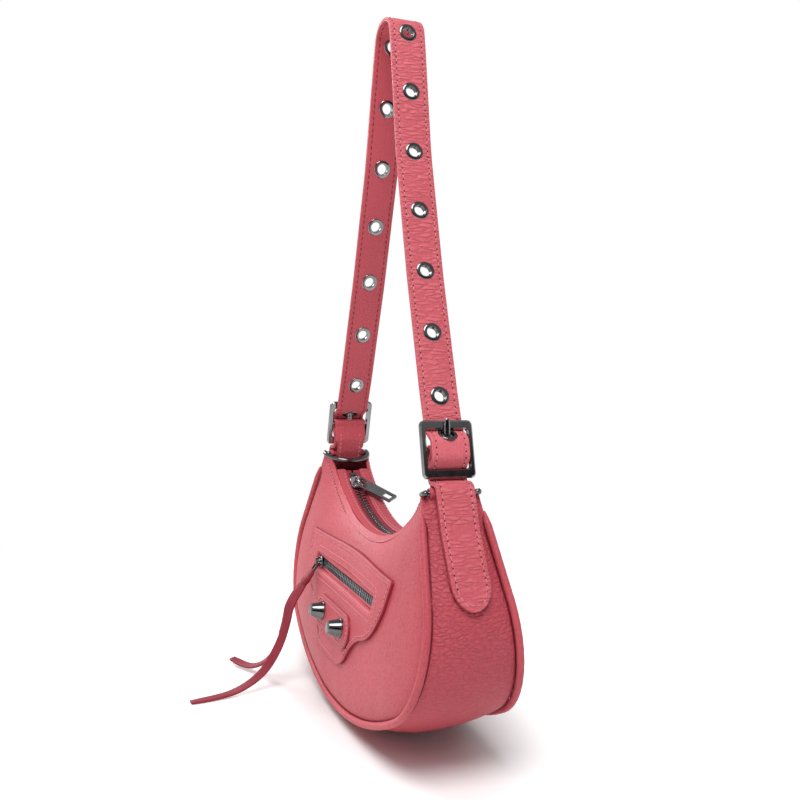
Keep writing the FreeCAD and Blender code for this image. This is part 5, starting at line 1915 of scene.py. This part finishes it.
def buckle_form():
    """A plate modelled flat, with one opening, stood up with its face out along X."""
    outer = rounded_rectangle(buckle_width, buckle_length, buckle_round, 8)
    hole_width, hole_length = buckle_width - 2 * buckle_bar, buckle_length - 2 * buckle_end_bar
    hole = rounded_rectangle(hole_width, hole_length, buckle_round / 2, 6)
    corners, faces = plate(outer, [hole], *about(buckle_thickness / 2), buckle_bevel)
    return welded(Form((buckle_set(corners[:, (2, 0, 1)]), faces)))


def bar_form():
    line = [(0, y, 0) for y in np.linspace(*about(buckle_width / 2 - buckle_bar / 2), 20)]
    return Form(tube(buckle_set(line), centre_bar_radius, 18, across=Z_WAY))


def prong_form():
    """A hub round the centre bar and a finger with grooves near its root, tapering to a round tip."""
    hole, half = centre_bar_radius + bar_fit, prong_width / 2
    outer, bevel = prong_hub_radius, prong_hub_bevel
    rim = both_sides([(hole, half), (outer - bevel, half), (outer, half - bevel)])
    corners, faces = lathe(rim + rim[:1], 40, (0, 0, 0), Y_WAY)
    way = np.array([math.sin(prong_angle), 0, math.cos(prong_angle)])
    reach = np.linspace(prong_hub_radius * prong_root_share, prong_length, 60)
    grooves = [np.exp(-((reach - place) / prong_groove_reach) ** 2) for place in prong_groove_places]
    taper = np.interp(reach, prong_taper_places, prong_taper_shares)
    radii = (prong_diameter / 2 * taper - prong_groove * sum(grooves)) * prong_spread_share
    finger = tube(buckle_set(reach[:, None] * way), radii, 18, flatten=1 / prong_spread_share)
    return Form((buckle_set(corners), faces), finger)


# Chapes
chape_loop = centre_bar_radius + bar_fit + chape_leather / 2
strap_behind = -(buckle_thickness / 2 + strap_clearance + strap_half)
chape_outer_ply = strap_behind - strap_half - strap_clearance - chape_leather / 2
chape_inner_ply = chape_outer_ply - chape_leather - chape_gap


def chape_run():
    """Up behind the strap, round the centre bar and back down."""
    shallow_round = chape_loop * (math.sqrt(2) - 1)
    spots = [
        (-chape_end_reach, chape_outer_ply),
        (-strap_behind_reach, chape_outer_ply),
        (-chape_loop, chape_loop),
        (chape_loop, chape_loop),
        (chape_loop, -chape_loop),
        (-chape_loop, -chape_loop),
        (-strap_behind_reach, chape_inner_ply),
        (-chape_end_reach, chape_inner_ply),
    ]
    rounds = [chape_loop, shallow_round, chape_loop, chape_loop, shallow_round, chape_loop]
    return Run([buckle_spot(along, out) for along, out in spots], rounds, chape_run_step)


# Strap
strap_over = chape_loop + chape_leather / 2 + strap_clearance + strap_half
climb_run = (strap_over - strap_behind) / math.tan(math.radians(strap_climb_angle))
step_spots = [
    (-strap_behind_reach, strap_behind),
    (climb_run - strap_behind_reach, strap_over),
    (strap_behind_reach - climb_run, strap_over),
    (strap_behind_reach, strap_behind),
]


def strap_route():
    """From the right tail up through the right buckle, over the top and down to the left tail."""
    lift = strap_half + strap_tail_gap
    base = 1j * piping_base_height
    tip = crown.end + base + np.exp(1j * math.radians(strap_tail_angle)) * (crown.radius + lift)
    out = np.exp(1j * crown.flank_angle)
    knee = crown.flank + base + out * lift
    top = crown.horn + base + out * lift
    flank = knee + (top - knee) * flank_share
    reach = loop_outer + strap_half + strap_shoulder_gap
    shoulder = complex(ring_bar_x, ring_bar_height) + np.exp(1j * math.radians(strap_shoulder_angle)) * reach
    half = [(spot.real, spot.imag) for spot in (tip, knee, flank, shoulder)]
    half.append(buckle_spot(-strap_turn_reach, strap_behind))
    rounds = [strap_tail_round, strap_tail_round, strap_turn_round, strap_wrap_round]
    half += [buckle_spot(along, spot_out) for along, spot_out in step_spots]
    rounds += [strap_step_round] * len(step_spots)
    rise = strap_apex_height - strap_half - buckle_height
    for x_share, z_share in zip(leg_x_shares, leg_z_shares):
        half.append((buckle_x * x_share, buckle_height + rise * z_share))
        rounds.append(strap_leg_round)
    rounds[-1] = strap_top_round
    rounds[-len(leg_x_shares)] = strap_tail_round
    return Run(half + [(-x, z) for x, z in reversed(half)], rounds + rounds[::-1], strap_run_step)


strap = strap_route()


def buckle_eyelet():
    """Where the prong's line crosses the strap at the right buckle."""
    low, high = complex(*step_spots[2]), complex(*step_spots[3])
    ray = complex(math.cos(prong_angle), math.sin(prong_angle))
    run = high - low
    share = (np.conj(low) * ray).imag / (np.conj(ray) * run).imag
    spot = low + run * share
    return strap.travel_at(buckle_spot(spot.real, spot.imag))


eyelet_travels = []
for index in range(eyelet_count_per_leg):
    reach = eyelet_pitch * (index + 1 / 2)
    eyelet_travels += [strap.length / 2 - reach, strap.length / 2 + reach]
eyelet_travels += [buckle_eyelet(), strap.length - buckle_eyelet()]


def tip_width(travels):
    """Half width of the strap, drawn to a round point at both tails."""
    gap = np.clip(np.minimum(travels, strap.length - travels) / strap_tip_length, 0, 1)
    return strap_width / 2 * (1 - (1 - gap) ** 2) ** tip_power


tip_steps = np.array(tip_places)
middle_count = int((strap.length - 2 * tip_mesh_end) / strap_mesh_step)
middle_steps = np.linspace(tip_mesh_end, strap.length - tip_mesh_end, middle_count)
strap_travels = np.concatenate([tip_steps, middle_steps, strap.length - tip_steps[::-1]])
strap_halves = tip_width(strap_travels)
strap_holes = [(travel, eyelet_hole_radius) for travel in eyelet_travels]
strap_row_reach = strap_width / 2 - stitch_edge_gap
buckle_low = strap.travel_at(buckle_spot(-buckle_length / 2, strap_behind))
buckle_high = strap.travel_at(buckle_spot(buckle_length / 2, strap_behind))


def in_buckle(s):
    """Whether a travel lies between the ends of a buckle."""
    gap = np.minimum(s, strap.length - s)
    return (gap > buckle_low) & (gap < buckle_high)


def row_groove(y):
    return np.exp(-((np.abs(y) - strap_row_reach) / strap_groove_reach) ** 2)


def strap_relief(s, y):
    """Cross wrinkles, sunk along the stitch rows and padded between them."""
    padding = strap_padding * (1 - (y / strap_row_reach) ** 2)
    calm = smooth_step((strap_row_reach - np.abs(y)) / stitch_edge_gap) * ~in_buckle(s)
    wrinkles = strap_wrinkle * calm * wrinkle(s, y, strap_seed, strap_wrinkle_reaches)
    return wrinkles - strap_groove * row_groove(y) + padding


def lining_relief(s, y):
    return lining_wrinkle * wrinkle(s, y, lining_seed, lining_wrinkle_reaches) - lining_groove * row_groove(y)


def strap_strip(low, high, relief, rounded):
    return leather_strip(strap, strap_travels, low, high, strap_halves, strap_edge_round, strap_holes, relief,
                         rounded)


form = strap_strip(0.0, strap_half, strap_relief, (0, 1))
strap_places = np.vstack(form.strip)
for index, face in enumerate(form.faces):
    if form.finish_of[index] == 0 and in_buckle(strap_places[face[0], 0]):
        form.finish_of[index] = 2
strap_finishes = [strap_leather, coral_leather, smooth_leather]
make("strap_outer_leather", form, strap_finishes, "strap", ("strap_outer",))
form = strap_strip(-strap_half, 0.0, lining_relief, (1, 0))
lining_finishes = [lining_leather, coral_leather]
make("strap_lining_leather", form, lining_finishes, "strap", ("strap_lining",))


def strap_row(out):
    """A stitch row all round the strap, at a height from its middle."""
    s = np.linspace(tip_stitch_gap, strap.length - tip_stitch_gap, strap_row_stations)
    y = np.maximum(tip_width(s) - stitch_edge_gap, 0)
    s, y = np.concatenate([s, s[::-1]]), np.concatenate([y, -y[::-1]])
    return strap.point(s, y, out), strap.out_way(s) * math.copysign(1, out)


form = Form()
sew(form, *strap_row(strap_half - strap_thread_sink), stitch_pitch, stitch_length, closed=True)
sew(form, *strap_row(-strap_half + lining_thread_sink), stitch_pitch, stitch_length, closed=True, thread=2)
sewn("strap_stitches", form, "strap")


# Eyelets: a rolled cap outside, a washer inside
def eyelet_steps(side, inner_steps, outer_steps, seat):
    """Radius and height pairs from an eyelet's inside to its rim and under it, on one face of the strap."""
    steps = [(eyelet_inner_radius + step, rise) for step, rise in inner_steps]
    steps += [(eyelet_outer_radius + step, rise) for step, rise in outer_steps]
    steps += [(eyelet_inner_radius + seat[0], seat[1])]
    return [(radius, side * (strap_half + rise)) for radius, rise in steps]


barrel_end = -strap_half - eyelet_barrel_end
cap_profile = [(eyelet_inner_radius, barrel_end)]
cap_profile += eyelet_steps(1, cap_inner_steps, cap_outer_steps, cap_seat)
cap_profile += [(eyelet_inner_radius + eyelet_barrel_wall, barrel_end), (eyelet_inner_radius, barrel_end)]
washer_profile = eyelet_steps(-1, washer_inner_steps, washer_outer_steps, washer_seat)
washer_profile += washer_profile[:1]
for name, profile, node, plating in (
    ("eyelet_rims", cap_profile, "eyelet_caps", shaded_gunmetal),
    ("eyelet_backs", washer_profile, "eyelet_washers", gunmetal),
):
    places = [(strap.point(travel, 0, 0), strap.out_way(travel)) for travel in eyelet_travels]
    form = Form(*[lathe(profile, 40, *place) for place in places])
    make(name, form, [plating], "strap", (node,))


# Strap ends
def chape_relief(s, y):
    return chape_crease * wrinkle(s, y, chape_seed, chape_crease_reaches)


def chape_form(run):
    """The chape's leather, narrow at its sewn ends, with a slot for the prong."""
    travels = np.linspace(0, run.length, int(run.length / chape_mesh_step))
    end_gap = np.minimum(travels, run.length - travels)
    narrow = 1 - smooth_step((end_gap - chape_narrow_reach) / chape_widen_reach)
    halves = chape_width / 2 - chape_taper * narrow
    slots = [(run.travel_at(buckle_spot(0, chape_loop)), chape_slot_half + chape_slot_room)]
    low, high = about(chape_leather / 2)
    return leather_strip(run, travels, low, high, halves, chape_edge_round, slots, chape_relief)


def chape_sewing(run, turn):
    """Two stitch rows on each ply."""
    form = Form()
    row = chape_width / 2 - chape_taper - chape_stitch_gap
    stop = chape_end_reach - chape_loop - chape_row_stop_gap
    for start, end in ((chape_row_start, stop), (run.length - stop, run.length - chape_row_start)):
        for side in (-1, 1):
            s = np.linspace(start, end, 40)
            line = turn(run.point(s, side * row, chape_leather / 2 - thread_sink))
            sew(form, line, turn(run.out_way(s)))
    return form


for side, turn in ends_and_turns:
    for name, form, node, body in (
        ("buckle_frame_", buckle_form(), "buckle_", "strap"),
        ("buckle_pin_", bar_form(), "buckle_bar_", "strap"),
        ("buckle_prong_", prong_form(), "prong_", "prong_" + side),
    ):
        make(name + side, form.turned_by(turn), [gunmetal], body, (node + side,), sharp=32)
    run = chape_run()
    form = chape_form(run).turned_by(turn)
    make("chape_leather_" + side, form, painted_leather, "strap", ("chape_" + side,))
    sewn("chape_stitches_" + side, chape_sewing(run, turn), "strap")

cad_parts["base_board"].data.materials.clear()
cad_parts["base_board"].data.materials.append(board_finish)

# Stage, in metres and watts
WHITE = (1, 1, 1, 1)
seen_rays = ("Is Camera Ray", "Is Glossy Ray", "Is Transmission Ray")
floor_reach = 9.0
floor_white = (0.86, 0.86, 0.86, 1)
floor_glow = 0.45
floor_near, floor_far = 0.25, 0.6
# Painted contact shadow: an ellipse round the bag's base inside which the floor's glow fades out.
contact_shadow_half_length, contact_shadow_half_depth = 0.115, 0.062
contact_shadow_near, contact_shadow_far = 0.55, 1.5
contact_shadow_hold_share = 0.02
sky_light = 0.27
ceiling_grey = (0.42, 0.42, 0.43, 1)
ceiling_rises = (0.12, 0.42)
card_black = (0.012, 0.012, 0.016, 1)
card_asides = (0.5, 0.72)
card_rises = (0.33, 0.41)
lamp_aim = (0.0, 0.0, 0.16)
lamps = (
    ("high softbox", (0.7, -0.35, 1.5), 0.9, 19),
    ("left softbox", (-1.2, -0.6, 0.9), 0.7, 12.5),
)
clip_near, clip_far = 0.01, 60


def staged(name, data):
    piece = bpy.data.objects.new(name, data)
    bpy.context.scene.collection.objects.link(piece)
    return piece


def stage_floor():
    """A floor that looks white far off, glows a little nearer, and has a painted contact shadow just round
    the bag's base, where its glow fades out.
    """
    mesh = bpy.data.meshes.new("floor")
    low, high = about(floor_reach)
    mesh.from_pydata([(low, low, 0), (high, low, 0), (high, high, 0), (low, high, 0)], [], [(0, 1, 2, 3)])
    floor = staged("floor", mesh)
    finish = Finish("white floor", Base_Color=floor_white, Roughness=0.9)
    plain = Value(finish, finish.shader.outputs[0])
    seen = sum(finish.ray(kind) for kind in seen_rays)
    white = finish.node("ShaderNodeEmission", {}, {"Color": WHITE, "Strength": 1.0})
    glow = finish.node("ShaderNodeEmission", {}, {"Color": WHITE, "Strength": floor_glow})
    lit = finish.node("ShaderNodeAddShader", {}, {0: plain, 1: glow})
    # Painted contact shadow: the glow fades out towards the bag's footprint.
    footprint = finish.stretched(finish.place(), (1 / contact_shadow_half_length, 1 / contact_shadow_half_depth, 0))
    contact = finish.length(footprint).between(contact_shadow_near, contact_shadow_far)
    open_share = contact * (1 - contact_shadow_hold_share) + contact_shadow_hold_share
    near = finish.mixed(seen * open_share, plain, lit)
    far_share = seen * finish.length(finish.place()).between(floor_near, floor_far)
    whole = finish.mixed(far_share, near, white)
    finish.feed(finish.tree.nodes["Material Output"].inputs["Surface"], whole)
    mesh.materials.append(finish.material)


def stage_world():
    """White where the camera looks; metal sees it low down, a dim ceiling and a black card."""
    world = bpy.data.worlds.new("studio")
    bpy.context.scene.world = world
    world.use_nodes = True
    sky = Nodes(world.node_tree)

    def shone(colour, strength=1.0):
        return sky.node("ShaderNodeBackground", {}, {"Color": colour, "Strength": strength})

    way = sky.node("ShaderNodeTexCoord", {}, {}, "Generated")
    rise, aside = sky.part(way, "Z"), sky.part(way, "X")
    white = shone(WHITE)
    bare = sky.mixed(rise.between(*ceiling_rises), white, shone(ceiling_grey))
    low_right = aside.between(*card_asides) * (1 - rise.between(*card_rises))
    gloss = sky.mixed(low_right, bare, shone(card_black))
    camera_ray, glossy_ray, transmission_ray = (sky.ray(kind) for kind in seen_rays)
    held = sky.mixed(glossy_ray, shone(WHITE, sky_light), gloss)
    whole = sky.mixed(camera_ray + transmission_ray, held, white)
    sky.feed(sky.tree.nodes["World Output"].inputs["Surface"], whole)


def stage_lamp(name, place, size, power):
    light = bpy.data.lights.new(name, "AREA")
    light.shape = "DISK"
    light.size = size
    light.energy = power
    holder = staged(name, light)
    holder.location = place
    holder.rotation_mode = "QUATERNION"
    holder.rotation_quaternion = (Vector(lamp_aim) - Vector(place)).to_track_quat("-Z", "Y")


def stage_camera():
    view = bpy.data.cameras.new("photo camera")
    view.lens = camera_lens
    view.sensor_width = camera_sensor
    view.clip_start = clip_near
    view.clip_end = clip_far
    holder = staged("photo camera", view)
    back, place = -np.array(camera_forward), np.array(camera_place) * MM
    columns = np.column_stack([camera_right, camera_up, back, place])
    holder.matrix_world = Matrix(columns.tolist() + [[0, 0, 0, 1]])
    bpy.context.scene.camera = holder


stage_floor()
stage_world()
stage_camera()
for name, place, size, power in lamps:
    stage_lamp(name, place, size, power)
bpy.context.scene.view_settings.view_transform = "Standard"
